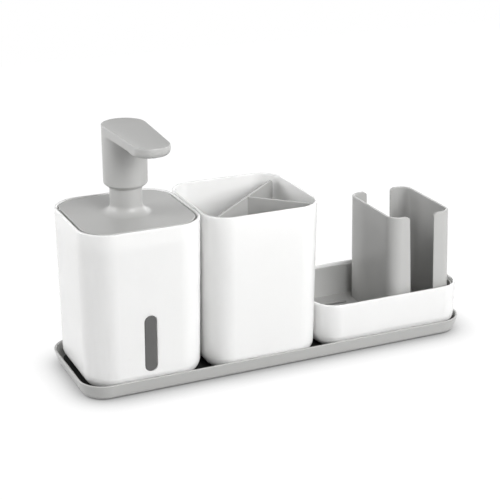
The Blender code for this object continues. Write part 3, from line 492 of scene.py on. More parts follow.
ledge_foot = LEDGE_LEVEL - LEDGE_DEPTH
ledge = [
    (VESSEL_WALL, LEDGE_LEVEL, 0.0002),
    (LEDGE_INSET, LEDGE_LEVEL, 0.0003),
    (LEDGE_INSET, ledge_foot, 0.0004),
    (VESSEL_WALL, ledge_foot - LEDGE_TAPER, 0.0010),
]
bottle_rings = cup_rings(
    VESSEL_HALF_LENGTH, VESSEL_HALF_DEPTH, BOTTLE_CORNER, BOTTLE_X, VESSEL_RIM_LEVEL,
    cup_side(VESSEL_RIM_LEVEL, ledge, BOTTLE_FILLET),
)
bottle = skin("bottle_body", bottle_rings)
quarter = [math.radians(15) * step for step in range(7)]
mouth = [(WINDOW_LIP, -2 * OVERCUT)]
for angle in quarter:
    mouth.append((WINDOW_LIP * (1 - math.sin(angle)), WINDOW_LIP * (1 - math.cos(angle))))
mouth.append((0, VESSEL_WALL + 2 * OVERCUT))
mouth_cutter = skin("window mouth", [window_ring(grow, inset) for grow, inset in mouth])
shade(carve(bottle, [mouth_cutter]), white_gloss)
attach(bottle, "bottle")
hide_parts("bottle")


# Level window: a strip of smoky see-through plastic. It is pressed in from inside until its
# flange meets the wall, and its face stands just below the bottle's surface.
WINDOW_GAP = 0.0003
WINDOW_FLANGE = 0.0022
WINDOW_FLANGE_THICKNESS = 0.0012
WINDOW_FACE_INSET = 0.0020
SMOKE_DARK = (0.088, 0.088, 0.086)
SMOKE_LIGHT = (0.104, 0.104, 0.102)

material, tree, place = start_material("smoky plastic")
haze = noise(tree, place, 120)
smoke = blend_colors(tree, haze, SMOKE_DARK, SMOKE_LIGHT)
smoky = dress(material, Base_Color=smoke, Roughness=haze * 0.05 + 0.16, Specular_IOR_Level=0.5)
inner_face = VESSEL_WALL + WINDOW_GAP
back_face = inner_face + WINDOW_FLANGE_THICKNESS
window_side = soften([
    (-WINDOW_FACE_INSET, WINDOW_GAP, 0),
    (-WINDOW_GAP, WINDOW_GAP, 0.0003),
    (-WINDOW_GAP, inner_face, 0),
    (WINDOW_FLANGE, inner_face, 0.0002),
    (WINDOW_FLANGE, back_face, 0.0002),
    (-WINDOW_FACE_INSET, back_face, 0),
], steps=3)
window_rings = [window_ring(grow, inset) for grow, inset in window_side]
window = shade(skin("window_strip", window_rings), smoky)
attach(window, "bottle")
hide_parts("level_window")


# Lid: a grey satin plate that drops into the bottle's mouth and leaves a thin dark joint round
# itself. A flared neck rises from it, and a skirt below it holds the rubber ring.
LID_INSET = 0.0034
LID_TOP = 0.1164
LID_UNDERSIDE = 0.1134
LID_EDGE_ROUND = 0.0004
LID_FACE_INSET = 0.0040
SKIRT_INSET = 0.006371
SKIRT_WALL = 0.0018
SKIRT_LIP = 0.0014
SKIRT_LIP_HEIGHT = 0.0016
SKIRT_BOTTOM = 0.1073
SKIRT_LIP_TOP = SKIRT_BOTTOM + SKIRT_LIP_HEIGHT
FLARE_RADIUS = 0.0180
FLARE_HEIGHT = 0.0062
FLARE_STEPS = 14
NECK_RADIUS = 0.0109
NECK_BORE = 0.0090
NECK_TOP = 0.1430
BOSS_RADIUS = 0.0122
BOSS_BOTTOM = 0.1044


def lid_ring(inset, level):
    half_x = VESSEL_HALF_LENGTH - inset
    return corner_ring(half_x, VESSEL_HALF_DEPTH - inset, BOTTLE_CORNER - inset, level, BOTTLE_X)


def turned_rings(side, x=BOTTLE_X, y=0):
    return [round_ring(radius, level, x, y) for radius, level in side]


skirt_back = SKIRT_INSET + SKIRT_WALL
skirt_front = SKIRT_INSET - SKIRT_LIP
lid_side = soften([
    (skirt_back + 0.0010, LID_UNDERSIDE, 0),
    (skirt_back, LID_UNDERSIDE, 0.0005),
    (skirt_back, SKIRT_BOTTOM, 0.0003),
    (skirt_front, SKIRT_BOTTOM, 0.0003),
    (skirt_front, SKIRT_LIP_TOP, 0.0002),
    (SKIRT_INSET, SKIRT_LIP_TOP, 0),
    (SKIRT_INSET, LID_UNDERSIDE, 0.0003),
    (LID_INSET, LID_UNDERSIDE, 0.0003),
    (LID_INSET, LID_TOP, LID_EDGE_ROUND),
    (LID_INSET + LID_FACE_INSET, LID_TOP, 0),
])
lid_rings = [lid_ring(inset, level) for inset, level in lid_side]
lid_rings.append(round_ring(FLARE_RADIUS + 0.0006, LID_TOP, BOTTLE_X))
for step in range(FLARE_STEPS + 1):
    angle = math.radians(90) * step / FLARE_STEPS
    radius = FLARE_RADIUS - (FLARE_RADIUS - NECK_RADIUS) * math.sin(angle)
    lid_rings.append(round_ring(radius, LID_TOP + FLARE_HEIGHT * (1 - math.cos(angle)), BOTTLE_X))
neck_side = soften([
    (NECK_RADIUS, LID_TOP + FLARE_HEIGHT + 0.0005, 0),
    (NECK_RADIUS, NECK_TOP, 0.0004),
    (NECK_BORE, NECK_TOP, 0.0003),
    (NECK_BORE, BOSS_BOTTOM, 0.0003),
    (BOSS_RADIUS, BOSS_BOTTOM, 0.0004),
    (BOSS_RADIUS, LID_UNDERSIDE, 0.0005),
    (BOSS_RADIUS + 0.0010, LID_UNDERSIDE, 0),
])
lid_rings += turned_rings(neck_side)
lid = shade(skin("lid_moulding", lid_rings, closed=True), grey_satin)
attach(lid, "lid")
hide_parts("lid")


# Soft rings: the lid's seal is stretched round its skirt, and a flat washer lies under the
# flange of the pump's barrel. Both are black rubber.
SEAL_INSET = 0.004871
SEAL_WIDTH = 0.0012
SEAL_BOTTOM = 0.1092
SEAL_TOP = 0.1118
WASHER_RADIUS = 0.0108
WASHER_BORE = 0.0089
WASHER_BOTTOM = 0.1433
WASHER_TOP = 0.1441

seal_side = soften([
    (SEAL_INSET, SEAL_BOTTOM, 0.0003),
    (SEAL_INSET, SEAL_TOP, 0.0003),
    (SEAL_INSET + SEAL_WIDTH, SEAL_TOP, 0.0002),
    (SEAL_INSET + SEAL_WIDTH, SEAL_BOTTOM, 0.0002),
], closed=True, steps=4)
seal = skin("lid_seal_ring", [lid_ring(inset, level) for inset, level in seal_side], closed=True)
washer_side = soften([
    (WASHER_RADIUS, WASHER_BOTTOM, 0.0002),
    (WASHER_RADIUS, WASHER_TOP, 0.0002),
    (WASHER_BORE, WASHER_TOP, 0.0001),
    (WASHER_BORE, WASHER_BOTTOM, 0.0001),
], closed=True, steps=3)
washer = skin("barrel_washer", turned_rings(washer_side), closed=True)
for ring, node in ((seal, "lid_seal"), (washer, "housing_gasket")):
    shade(ring, foot_rubber)
    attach(ring, "lid")
    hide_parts(node)


# Pump barrel, its cap and the dip tube: natural, slightly milky plastic, turned shapes that are
# snapped into each other and hang in the lid's neck.
# Their side views are lists of (radius, level, round).
MILK_DARK = (0.68, 0.69, 0.68)
MILK_LIGHT = (0.76, 0.77, 0.76)

material, tree, place = start_material("natural plastic")
milk = noise(tree, place, 150)
milky = blend_colors(tree, milk, MILK_DARK, MILK_LIGHT)
natural = dress(material, Base_Color=milky, Roughness=milk * 0.1 + 0.3, Subsurface_Weight=0.15,
                Subsurface_Scale=0.002)
barrel_side = [
    (0.0108, 0.1444, 0.0002), (0.0108, 0.1456, 0.0002),
    (0.0074, 0.1456, 0.0002), (0.0074, 0.0976, 0.0003),
    (0.0033, 0.0976, 0.0003), (0.0033, 0.0906, 0),
    (0.0016, 0.0884, 0), (0.0016, 0.0864, 0),
    (0.0035, 0.0864, 0), (0.0035, 0.0774, 0.0003),
    (0.0050, 0.0774, 0.0003), (0.0050, 0.0913, 0.0006),
    (0.0086, 0.0958, 0.0008), (0.0086, 0.1444, 0),
]
cap_side = [
    (0.0071, 0.1419, 0.0003), (0.0071, 0.1459, 0),
    (0.0108, 0.1459, 0.0002), (0.0108, 0.1485, 0.0008),
    (0.0043, 0.1485, 0.0003), (0.0043, 0.1459, 0),
    (0.0057, 0.1459, 0), (0.0057, 0.1419, 0.0002),
]
dip_side = [
    (0.0032, 0.0103, 0.0002), (0.0032, 0.0861, 0.0002),
    (0.0021, 0.0861, 0.0001), (0.0021, 0.0103, 0.0001),
]


def turn_natural(name, side, body, node):
    """A turned part of natural plastic that rides on a body in place of its node."""
    piece = skin(name, turned_rings(soften(side, closed=True, steps=4)), closed=True)
    shade(piece, natural)
    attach(piece, body)
    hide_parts(node)


turn_natural("pump_barrel", barrel_side, "lid", "pump_housing")
turn_natural("barrel_cap", cap_side, "lid", "stem_guide")
turn_natural("suction_tube", dip_side, "lid", "dip_tube")


# Stem and piston: the hollow rod that the head presses, and the two-lipped seal at its foot,
# both of natural plastic. The piston is snapped on the stem and they move together.
stem_side = [
    (0.0048, 0.1326, 0.0003), (0.0048, 0.1343, 0.0003),
    (0.0040, 0.1343, 0), (0.0040, 0.1667, 0.0002),
    (0.0028, 0.1667, 0.0002), (0.0028, 0.1612, 0),
    (0.0021, 0.1603, 0), (0.0021, 0.1326, 0.0002),
]
piston_side = [
    (0.0073, 0.1346, 0.0004), (0.0073, 0.1364, 0.0004),
    (0.0065, 0.1364, 0.0003), (0.0065, 0.1398, 0.0003),
    (0.0073, 0.1398, 0.0004), (0.0073, 0.1416, 0.0004),
    (0.0043, 0.1416, 0.0002), (0.0043, 0.1346, 0.0002),
]
turn_natural("hollow_stem", stem_side, "plunger", "pump_stem")
turn_natural("piston_seal", piston_side, "plunger", "piston")


# Spring: an open coil of bright steel wire between the barrel's ledge and the piston. It is
# wound along a helix; the real one shortens as the head is pressed, but this coil keeps its length.
SPRING_LOW = 0.09797
SPRING_HIGH = 0.13423
SPRING_RADIUS = 0.0057
SPRING_WIRE = 0.0010
SPRING_TURNS = 7
POINTS_A_TURN = 28
WIRE_SIDES = 10
STEEL_DARK = (0.52, 0.52, 0.53)
STEEL_LIGHT = (0.66, 0.66, 0.66)


def make_steel(name, roughness, scratch):
    material, tree, place = start_material(name)
    marks = noise(tree, place, scratch, 4.0)
    tone = blend_colors(tree, marks, STEEL_DARK, STEEL_LIGHT)
    relief = bump(tree, marks, 0.00001)
    return dress(material, Base_Color=tone, Metallic=1, Roughness=marks * 0.12 + roughness,
                 Normal=relief)


def start_tree(name, numbers, counts=()):
    """A Geometry Nodes tree, the identifiers that its named inputs are set by, and their wires."""
    tree = bpy.data.node_groups.new(name, "GeometryNodeTree")
    identifiers = {}
    for key in (*numbers, *counts):
        kind = "NodeSocketInt" if key in counts else "NodeSocketFloat"
        socket = tree.interface.new_socket(key, in_out="INPUT", socket_type=kind)
        identifiers[key] = socket.identifier
    given = tree.nodes.new("NodeGroupInput")
    wires = {socket.name: Wire(tree, socket) for socket in given.outputs if socket.name}
    return tree, identifiers, wires


def finish_tree(tree, geometry, material):
    """End a tree in Realize Instances and Set Material."""
    tree.interface.new_socket("Geometry", in_out="OUTPUT", socket_type="NodeSocketGeometry")
    real = add_node(tree, "GeometryNodeRealizeInstances", {}, {0: geometry})
    painting = {"Geometry": real, "Material": material}
    painted = add_node(tree, "GeometryNodeSetMaterial", {}, painting)
    tree.links.new(painted.socket, tree.nodes.new("NodeGroupOutput").inputs[0])


spring_steel = make_steel("spring wire", 0.22, 1800)
coil_sizes = ("Coil radius", "Coil height", "Wire radius", "Foot level", "Axis x")
coil, coil_inputs, wires = start_tree("wound coil", coil_sizes)
helix = add_node(coil, "GeometryNodeCurveSpiral", {}, {
    "Resolution": POINTS_A_TURN, "Rotations": SPRING_TURNS, "Height": wires["Coil height"],
    "Start Radius": wires["Coil radius"], "End Radius": wires["Coil radius"],
})
section = add_node(coil, "GeometryNodeCurvePrimitiveCircle", {}, {
    "Resolution": WIRE_SIDES, "Radius": wires["Wire radius"],
})
wound = add_node(coil, "GeometryNodeCurveToMesh", {}, {0: helix, 1: section, "Fill Caps": True})
foot = add_node(coil, "ShaderNodeCombineXYZ", {}, {"X": wires["Axis x"], "Z": wires["Foot level"]})
stood = add_node(coil, "GeometryNodeTransform", {}, {"Geometry": wound, "Translation": foot})
finish_tree(coil, stood, spring_steel)


def grow_from_tree(name, tree, identifiers, sizes):
    """Run a Geometry Nodes tree with its named sizes, and keep the result as a plain mesh."""
    piece = add_object(name, bpy.data.meshes.new(name))
    modifier = piece.modifiers.new("rule", "NODES")
    modifier.node_group = tree
    for key, size in sizes.items():
        modifier[identifiers[key]] = size
    return settle(piece)


spring = grow_from_tree("return_spring", coil, coil_inputs, {
    "Coil radius": SPRING_RADIUS, "Coil height": SPRING_HIGH - SPRING_LOW - SPRING_WIRE,
    "Wire radius": SPRING_WIRE / 2, "Foot level": SPRING_LOW + SPRING_WIRE / 2, "Axis x": BOTTLE_X,
})
spring.data.shade_smooth()
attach(spring, "lid")
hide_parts("pump_spring")
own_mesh(spring)


# Valve balls: two polished steel balls that lie loose on their seats. One closes the barrel's
# inlet and the other the stem's outlet.
BALL_ROWS = 24

ball_steel = make_steel("polished ball", 0.08, 500)
for name, node, body in (
    ("inlet_valve_ball", "inlet_ball", "inlet_valve"),
    ("outlet_valve_ball", "discharge_ball", "discharge_valve"),
):
    low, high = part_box(node)
    radius = (high.z - low.z) / 2
    middle = (high.z + low.z) / 2
    rows = [math.radians(180) * ((row + 0.5) / BALL_ROWS - 0.5) for row in range(BALL_ROWS)]
    side = [(radius * math.cos(angle), middle + radius * math.sin(angle)) for angle in rows]
    ball = shade(skin(name, turned_rings(side)), ball_steel)
    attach(ball, body)
    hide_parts(node)


# Pump head: one grey satin moulding. A round sleeve carries a long plate whose top is dished for
# the thumb, and whose lower edge drops and rounds under towards the nozzle.
HEAD_TOP = 0.1769
HEAD_REACH = 0.0575
HEAD_TURN = math.radians(1.5)
SLEEVE_BOTTOM = 0.1347
SLEEVE_FOOT = 0.0120
SLEEVE_RADIUS = 0.0148
SLEEVE_TOP_RADIUS = 0.0150
SLEEVE_CHAMFER = 0.0024
PLATE_THICKNESS = 0.0058
TIP_THICKNESS = 0.0080
TIP_TAPER = 0.0220
TIP_HALF_WIDTH = 0.0122
TIP_CORNER = 0.0098
PLATE_LEVEL = HEAD_TOP - PLATE_THICKNESS
PLATE_FALL = 0.0019
UNDER_ROUND = 0.0016
TIP_UNDER_ROUND = 0.0064
UNDER_FILLET = 0.0036
UNDER_LEAD = 0.0052
FILLET_SHARE = 0.55
EDGE_SHARE = 0.45
TOP_ROUND = 0.0006
FALL_POWER = 1.2
DISH_SINK = 0.0013
DISH_SHARES = (0.01, 0.02, 0.04, 0.07, 0.11, 0.16, 0.22, 0.30, 0.39, 0.50, 0.62, 0.76, 0.90, 1)
BACK_STEPS = 32
SIDE_STEPS = 12


def plate_outline():
    """Plan of the plate and, for each of its points, the point of the sleeve that it grows from."""
    centre_x = TIP_HALF_WIDTH - TIP_CORNER
    centre_y = HEAD_REACH - TIP_CORNER
    taper = SLEEVE_TOP_RADIUS - TIP_HALF_WIDTH
    roots = [math.radians(180) * step / BACK_STEPS for step in range(BACK_STEPS + 1)]
    outline = [(SLEEVE_TOP_RADIUS * math.cos(a), SLEEVE_TOP_RADIUS * math.sin(a)) for a in roots]
    left = []
    for s in range(1, SIDE_STEPS):
        left.append((-SLEEVE_TOP_RADIUS + taper * s / SIDE_STEPS, -centre_y * s / SIDE_STEPS))
    for step in range(SIDE_STEPS + 1):
        angle = math.radians(180) + math.radians(90) * step / SIDE_STEPS
        x = -centre_x + TIP_CORNER * math.cos(angle)
        left.append((x, -centre_y + TIP_CORNER * math.sin(angle)))
    left.append((-centre_x / 2, -HEAD_REACH))
    outline += left + [(0, -HEAD_REACH)] + [(-x, y) for x, y in reversed(left)]
    front = len(outline) - len(roots)
    roots += [math.radians(180) * (1 + (i + 1) / (front + 1)) for i in range(front)]
    return outline, roots


def towards_tip(y):
    """0 over most of the plate, rising softly to 1 at its tip."""
    share = min(max((-y - HEAD_REACH + TIP_TAPER) / TIP_TAPER, 0), 1)
    return share * share * (3 - 2 * share)


def fall(y):
    """How far the plate has dropped at a place along its reach."""
    return PLATE_FALL * max(-y / HEAD_REACH, 0) ** FALL_POWER


def underside(y):
    return PLATE_LEVEL - (TIP_THICKNESS - PLATE_THICKNESS) * towards_tip(y) - fall(y)


outline, roots = plate_outline()
sleeve_side = soften([
    (SLEEVE_FOOT - 0.0010, SLEEVE_BOTTOM, 0),
    (SLEEVE_FOOT, SLEEVE_BOTTOM, 0.0003),
    (SLEEVE_RADIUS, SLEEVE_BOTTOM + SLEEVE_CHAMFER, 0.0012),
    (SLEEVE_TOP_RADIUS, PLATE_LEVEL - UNDER_LEAD, 0),
])
head_rings = []
for radius, level in sleeve_side:
    head_rings.append([Vector((radius * math.cos(a), radius * math.sin(a), level)) for a in roots])


def under_ring(place, rise):
    """A ring under the plate. place and rise say how far out and up its points lie."""
    ring = []
    for (x, y), root in zip(outline, roots):
        start = Vector((math.cos(root), math.sin(root))) * SLEEVE_TOP_RADIUS
        end = Vector((x, y))
        overhang = (end - start).length
        fillet = min(UNDER_FILLET, overhang * FILLET_SHARE)
        edge = UNDER_ROUND + (TIP_UNDER_ROUND - UNDER_ROUND) * towards_tip(y)
        edge = min(edge, overhang * EDGE_SHARE)
        share = place(overhang, fillet, edge) / max(overhang, 1e-9)
        point = start.lerp(end, min(max(share, 0), 1))
        ring.append(Vector((point.x, point.y, underside(point.y) + rise(fillet, edge))))
    return ring


for a in quarter:
    head_rings.append(under_ring(
        lambda overhang, fillet, edge: fillet * (1 - math.cos(a)),
        lambda fillet, edge: -fillet * (1 - math.sin(a)),
    ))
for share in (0.2, 0.4, 0.6, 0.8):
    head_rings.append(under_ring(
        lambda overhang, fillet, edge: fillet + (overhang - fillet - edge) * share,
        lambda fillet, edge: 0,
    ))
for a in quarter:
    head_rings.append(under_ring(
        lambda overhang, fillet, edge: overhang - edge + edge * math.sin(a),
        lambda fillet, edge: edge * (1 - math.cos(a)),
    ))
for drop in (0.0003, 0.0001):
    side_level = HEAD_TOP - TOP_ROUND - drop
    head_rings.append([Vector((x, y, side_level - fall(y))) for x, y in outline])


def top_ring(inwards, share, level):
    """A ring on the plate's top, moved from its outline towards the line along its middle."""
    ring = []
    for x, y in outline:
        spine = Vector((0, min(max(y, -(HEAD_REACH - TIP_HALF_WIDTH)), 0)))
        edge = Vector((x, y))
        way = spine - edge
        point = (edge + way.normalized() * inwards).lerp(spine, share)
        ring.append(Vector((point.x, point.y, level - fall(point.y))))
    return ring


for a in quarter:
    level = HEAD_TOP - TOP_ROUND * (1 - math.sin(a))
    head_rings.append(top_ring(TOP_ROUND * (1 - math.cos(a)), 0, level))
for share in DISH_SHARES:
    head_rings.append(top_ring(TOP_ROUND, share, HEAD_TOP - DISH_SINK * (1 - (1 - share) ** 3)))
head = skin("press_head", head_rings, folded=True)

CAVITY_RADIUS = 0.0129
CAVITY_TOP = 0.1740
CAVITY_FOOT = SLEEVE_BOTTOM + 0.0040
LIP_RADIUS = 0.0114
LIP_HEIGHT = 0.0016

hollow_side = [
    (LIP_RADIUS, SLEEVE_BOTTOM - 2 * OVERCUT), (LIP_RADIUS, SLEEVE_BOTTOM + LIP_HEIGHT),
    (CAVITY_RADIUS, CAVITY_FOOT), (CAVITY_RADIUS, CAVITY_TOP),
]
hollow = skin("sleeve hollow", turned_rings(hollow_side, x=0))


def block(name, low, high):
    plan = [(low[0], low[1]), (high[0], low[1]), (high[0], high[1]), (low[0], high[1])]
    return skin(name, [[Vector((x, y, level)) for x, y in plan] for level in (low[2], high[2])])


def lower_to_plate(piece):
    """Let what lies in the plate follow its fall."""
    for point in piece.data.vertices:
        point.co.z -= fall(point.co.y)


trough = block("trough", (-0.0055, -0.0530, 0.1640), (0.0055, -0.0153, CAVITY_TOP))
lower_to_plate(trough)
way_through = block("way through", (-0.0043, -0.0170, 0.1700), (0.0043, -0.0109, CAVITY_TOP))
carve(head, [hollow, trough, way_through])
head_place = Matrix.Translation((BOTTLE_X, 0, 0)) @ Matrix.Rotation(HEAD_TURN, 4, "Z")
head.data.transform(head_place)
shade(head, grey_satin)
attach(head, "head")
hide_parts("pump_head")


# Nozzle tube: natural plastic, pushed up into the sleeve. It grips the stem, and its arm leads
# the soap forward to the round outlet under the plate's tip.
OUTLET_Y = -0.0497

spout_side = soften([
    (0.0030, 0.1597, 0), (0.0060, 0.1597, 0.0003),
    (0.0060, 0.1692, 0.0002), (0.0126, 0.1692, 0.0003),
    (0.0126, 0.1708, 0.0003), (0.0060, 0.1708, 0.0002),
    (0.0060, 0.1738, 0.0003), (0.0030, 0.1738, 0),
], steps=3)
spout = skin("nozzle_arm", turned_rings(spout_side, x=0))
arm = block("arm", (-0.0040, -0.0527, 0.1703), (0.0040, 0, 0.1737))
outlet_side = soften([
    (0.0015, 0.1689, 0), (0.0027, 0.1689, 0.0003), (0.0027, 0.1731, 0), (0.0015, 0.1731, 0),
])
outlet = skin("outlet", turned_rings(outlet_side, x=0, y=OUTLET_Y))
lower_to_plate(arm)
lower_to_plate(outlet)
carve(spout, [arm, outlet], "UNION")
socket_side = [(0.0043, 0.1577), (0.0043, 0.1670), (0.0012, 0.1670), (0.00119, 0.17285)]
socket = skin("stem socket", turned_rings(socket_side, x=0))
channel = block("soap channel", (-0.0012, OUTLET_Y - 0.0012, 0.1709), (0.0012, 0.0012, 0.1729))
outlet_bore_side = [(0.0012, 0.1669), (0.00119, 0.17285)]
outlet_bore = skin("outlet bore", turned_rings(outlet_bore_side, x=0, y=OUTLET_Y))
lower_to_plate(channel)
lower_to_plate(outlet_bore)
carve(spout, [socket, channel, outlet_bore])
spout.data.transform(head_place)
shade(spout, natural)
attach(spout, "head")
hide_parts("nozzle_tube")


# Pot: a drafted cup of white gloss plastic of the bottle's size, open at the top, with slightly
# tighter corners. It stands loose on the mat.
POT_X = -0.0146
POT_CORNER = 0.0182

pot_rings = cup_rings(
    VESSEL_HALF_LENGTH, VESSEL_HALF_DEPTH, POT_CORNER, POT_X, VESSEL_RIM_LEVEL,
    cup_side(VESSEL_RIM_LEVEL),
)
pot = shade(skin("open_pot", pot_rings), white_gloss)
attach(pot, "pot")
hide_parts("pot")


# Divider: a thin grey wall from corner to corner of the pot, with one branch to a third corner.
# It is moulded in one piece, with softened edges, and lifts out.
DIVIDER_WALL = 0.0018
DIVIDER_TOP = 0.1134
DIVIDER_BOTTOM = 0.0066
DIVIDER_TOP_ROUND = 0.0036
DIVIDER_FOOT_ROUND = 0.0075
DIVIDER_ANGLE = math.radians(41)
BRANCH_ANGLE = math.radians(-42.5)
BRANCH_OFFSET = 0.0050
DIVIDER_END_GAP = 0.0006
DIVIDER_EDGE_ROUND = 0.00035
DIVIDER_EDGE_ANGLE = math.radians(50)


def heading(angle):
    return Vector((math.cos(angle), math.sin(angle), 0))


def reach_to_corner(start, way, side_x, side_y):
    """Distance from a point, counted from the pot's middle, to the inside of one rounded corner."""
    inset = VESSEL_WALL + DRAFT * (VESSEL_RIM_LEVEL - DIVIDER_TOP)
    corner = POT_CORNER - inset
    centre_x = VESSEL_HALF_LENGTH - inset - corner
    centre_y = VESSEL_HALF_DEPTH - inset - corner
    centre = Vector((side_x * centre_x, side_y * centre_y, 0))
    ahead = (centre - start).dot(way)
    aside = (centre - start).length_squared - ahead ** 2
    return ahead + math.sqrt(corner ** 2 - aside) - DIVIDER_END_GAP - DIVIDER_WALL / 2


def end_view(reach):
    """Side view of an arm's outer end, which leans with the pot's wall."""
    foot = reach - DRAFT * (DIVIDER_TOP - DIVIDER_BOTTOM)
    view = soften([
        (0, DIVIDER_BOTTOM, 0),
        (foot, DIVIDER_BOTTOM, DIVIDER_FOOT_ROUND),
        (reach, DIVIDER_TOP, DIVIDER_TOP_ROUND),
        (0, DIVIDER_TOP, 0),
    ], steps=8)
    return view[1:-1]


def wall_from(name, view, way, start):
    """A wall of even thickness with a side view, along a way from its start."""
    across = Vector((-way.y, way.x, 0)) * (DIVIDER_WALL / 2)
    middle = [start + way * s + Vector((0, 0, level)) for s, level in view]
    return skin(name, [[point + across * side for point in middle] for side in (-1, 1)])


pot_middle = Vector((POT_X, 0, 0))
way = heading(DIVIDER_ANGLE)
far_view = end_view(reach_to_corner(Vector(), way, 1, 1))
near_view = end_view(reach_to_corner(Vector(), -way, -1, -1))
whole_view = far_view + [(-s, level) for s, level in reversed(near_view)]
divider = wall_from("pot_partition", whole_view, way, pot_middle)
branch_start = way * BRANCH_OFFSET
branch_way = heading(BRANCH_ANGLE)
branch_view = end_view(reach_to_corner(branch_start, branch_way, 1, -1))
branch_view += [(0, DIVIDER_TOP), (0, DIVIDER_BOTTOM)]
branch = wall_from("branch", branch_view, branch_way, pot_middle + branch_start)
carve(divider, [branch], "UNION")
edges = divider.modifiers.new("edges", "BEVEL")
edges.width = DIVIDER_EDGE_ROUND
edges.segments = 3
edges.limit_method = "ANGLE"
edges.angle_limit = DIVIDER_EDGE_ANGLE
shade(settle(divider), grey_satin)
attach(divider, "divider")
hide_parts("pot_divider")


# Dish: a low drafted cup of white gloss plastic that catches the water. It stands loose on the
# mat and carries the drainer.
DISH_X = 0.0874
DISH_HALF_LENGTH = 0.05855
DISH_HALF_DEPTH = 0.0391
DISH_RIM_LEVEL = 0.0374
DISH_CORNER = 0.0164

dish_rings = cup_rings(
    DISH_HALF_LENGTH, DISH_HALF_DEPTH, DISH_CORNER, DISH_X, DISH_RIM_LEVEL,
    cup_side(DISH_RIM_LEVEL),
)
dish = shade(skin("water_dish", dish_rings), white_gloss)
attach(dish, "dish")
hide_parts("dish")


# Sponge guards: two tall C-shaped walls of grey satin plastic that face each other. Each is
# plugged into a slot of its own outline in the drainer's floor.
GUARD_TOP = 0.0937
GUARD_FOOT = 0.0105
GUARD_HALF_DEPTH = 0.0325
GUARD_CORNER = 0.0090
GUARD_HALF_WALL = 0.0010
GUARD_TOP_ROUND = 0.0028
GUARD_EDGE = 0.0006
GUARD_PLAIN = 0.0200
GUARD_STEPS = 12
END_ROUND = 0.75
END_FULLNESS = 1.25
BACK_FLANGE = 0.0150
# Each guard: place of its back wall, way it opens, length of its front flange, and how much it
# leans and its flanges widen with the drop from its top.
GUARDS = {
    "left": {"x": 0.08615, "opens": 1, "front": 0.0150, "lean": 0.025, "widening": 0.034},
    "right": {"x": 0.13695, "opens": -1, "front": 0.0158, "lean": 0.046, "widening": 0.006},
}


def guard_ring(guard, level, shorter=0, inset=0):
    """Plan of a guard at a level: a C of even thickness with rounded free ends."""
    drop = GUARD_TOP - level
    reach = guard["widening"] * drop - shorter - inset
    half = GUARD_HALF_WALL - inset
    centre_y = GUARD_HALF_DEPTH - GUARD_CORNER
    middle = GUARD_CORNER - GUARD_HALF_WALL
    sides = []
    for offset in (half, -half):
        radius = middle + offset
        path = []
        for corner, side in enumerate((-1, 1)):
            for step in range(GUARD_STEPS + 1):
                angle = math.radians(270) - math.radians(90) * (corner + step / GUARD_STEPS)
                x = GUARD_CORNER + radius * math.cos(angle)
                path.append((x, side * centre_y + radius * math.sin(angle)))
        sides.append(path)
    ends = []
    round_end = half * END_ROUND
    for side, flange in ((1, BACK_FLANGE), (-1, guard["front"])):
        end = []
        for step in range(GUARD_STEPS + 1):
            angle = math.radians(180) * step / GUARD_STEPS
            across = max(-1, min(1, math.cos(angle) * END_FULLNESS)) * half
            out = min(1, math.sin(angle) * END_FULLNESS)
            x = flange + reach - round_end + round_end * out
            end.append((x, side * (centre_y + middle + across)))
        ends.append(end)
    outline = sides[0] + ends[0] + sides[1][::-1] + ends[1][::-1]
    x0 = guard["x"] + guard["lean"] * drop
    return [Vector((x0 + guard["opens"] * x, y, level)) for x, y in outline]


shortest = GUARD_TOP_ROUND - GUARD_EDGE
for side, guard in GUARDS.items():
    rings = [guard_ring(guard, GUARD_FOOT), guard_ring(guard, GUARD_TOP - GUARD_PLAIN)]
    for step in range(9):
        angle = math.radians(90) * step / 8
        level = GUARD_TOP - GUARD_EDGE - shortest * (1 - math.sin(angle))
        rings.append(guard_ring(guard, level, shortest * (1 - math.cos(angle))))
    for angle in quarter[1:]:
        inset = GUARD_EDGE * (1 - math.cos(angle))
        level = GUARD_TOP - GUARD_EDGE * (1 - math.sin(angle))
        rings.append(guard_ring(guard, level, shortest, inset))
    piece = shade(skin("sponge_wall_" + side, rings), grey_satin)
    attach(piece, "drainer")
    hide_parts("sponge_guard_" + side)


# Drainer: a grey satin tub that stands low in the dish on four short pegs. Rows of drain slots
# are cut through its floor, beside the guards and between them.
INSERT_INSET = 0.0024
INSERT_WALL = 0.0015
INSERT_TOP = 0.0355
INSERT_UNDERSIDE = 0.0112
INSERT_FLOOR_LEVEL = 0.0123
INSERT_FLOOR_INSET = 0.0100
PEG_RADIUS = 0.0030
PEG_BOTTOM = 0.0066
PEG_TOP = 0.0114
PEG_X = 0.04355
PEG_Y = 0.0241
SLOT_WIDTH = 0.0038
SLOT_PITCH = 0.0130
SLOT_COUNT = 4
SLOT_ROWS = ((0.0400, 0.06025), (0.0240, 0.11444))  # length of the slots, x of their middle
SLOT_CUT = 0.006
SLOT_END_POINTS = 8
GUARD_PLAY = 0.0003

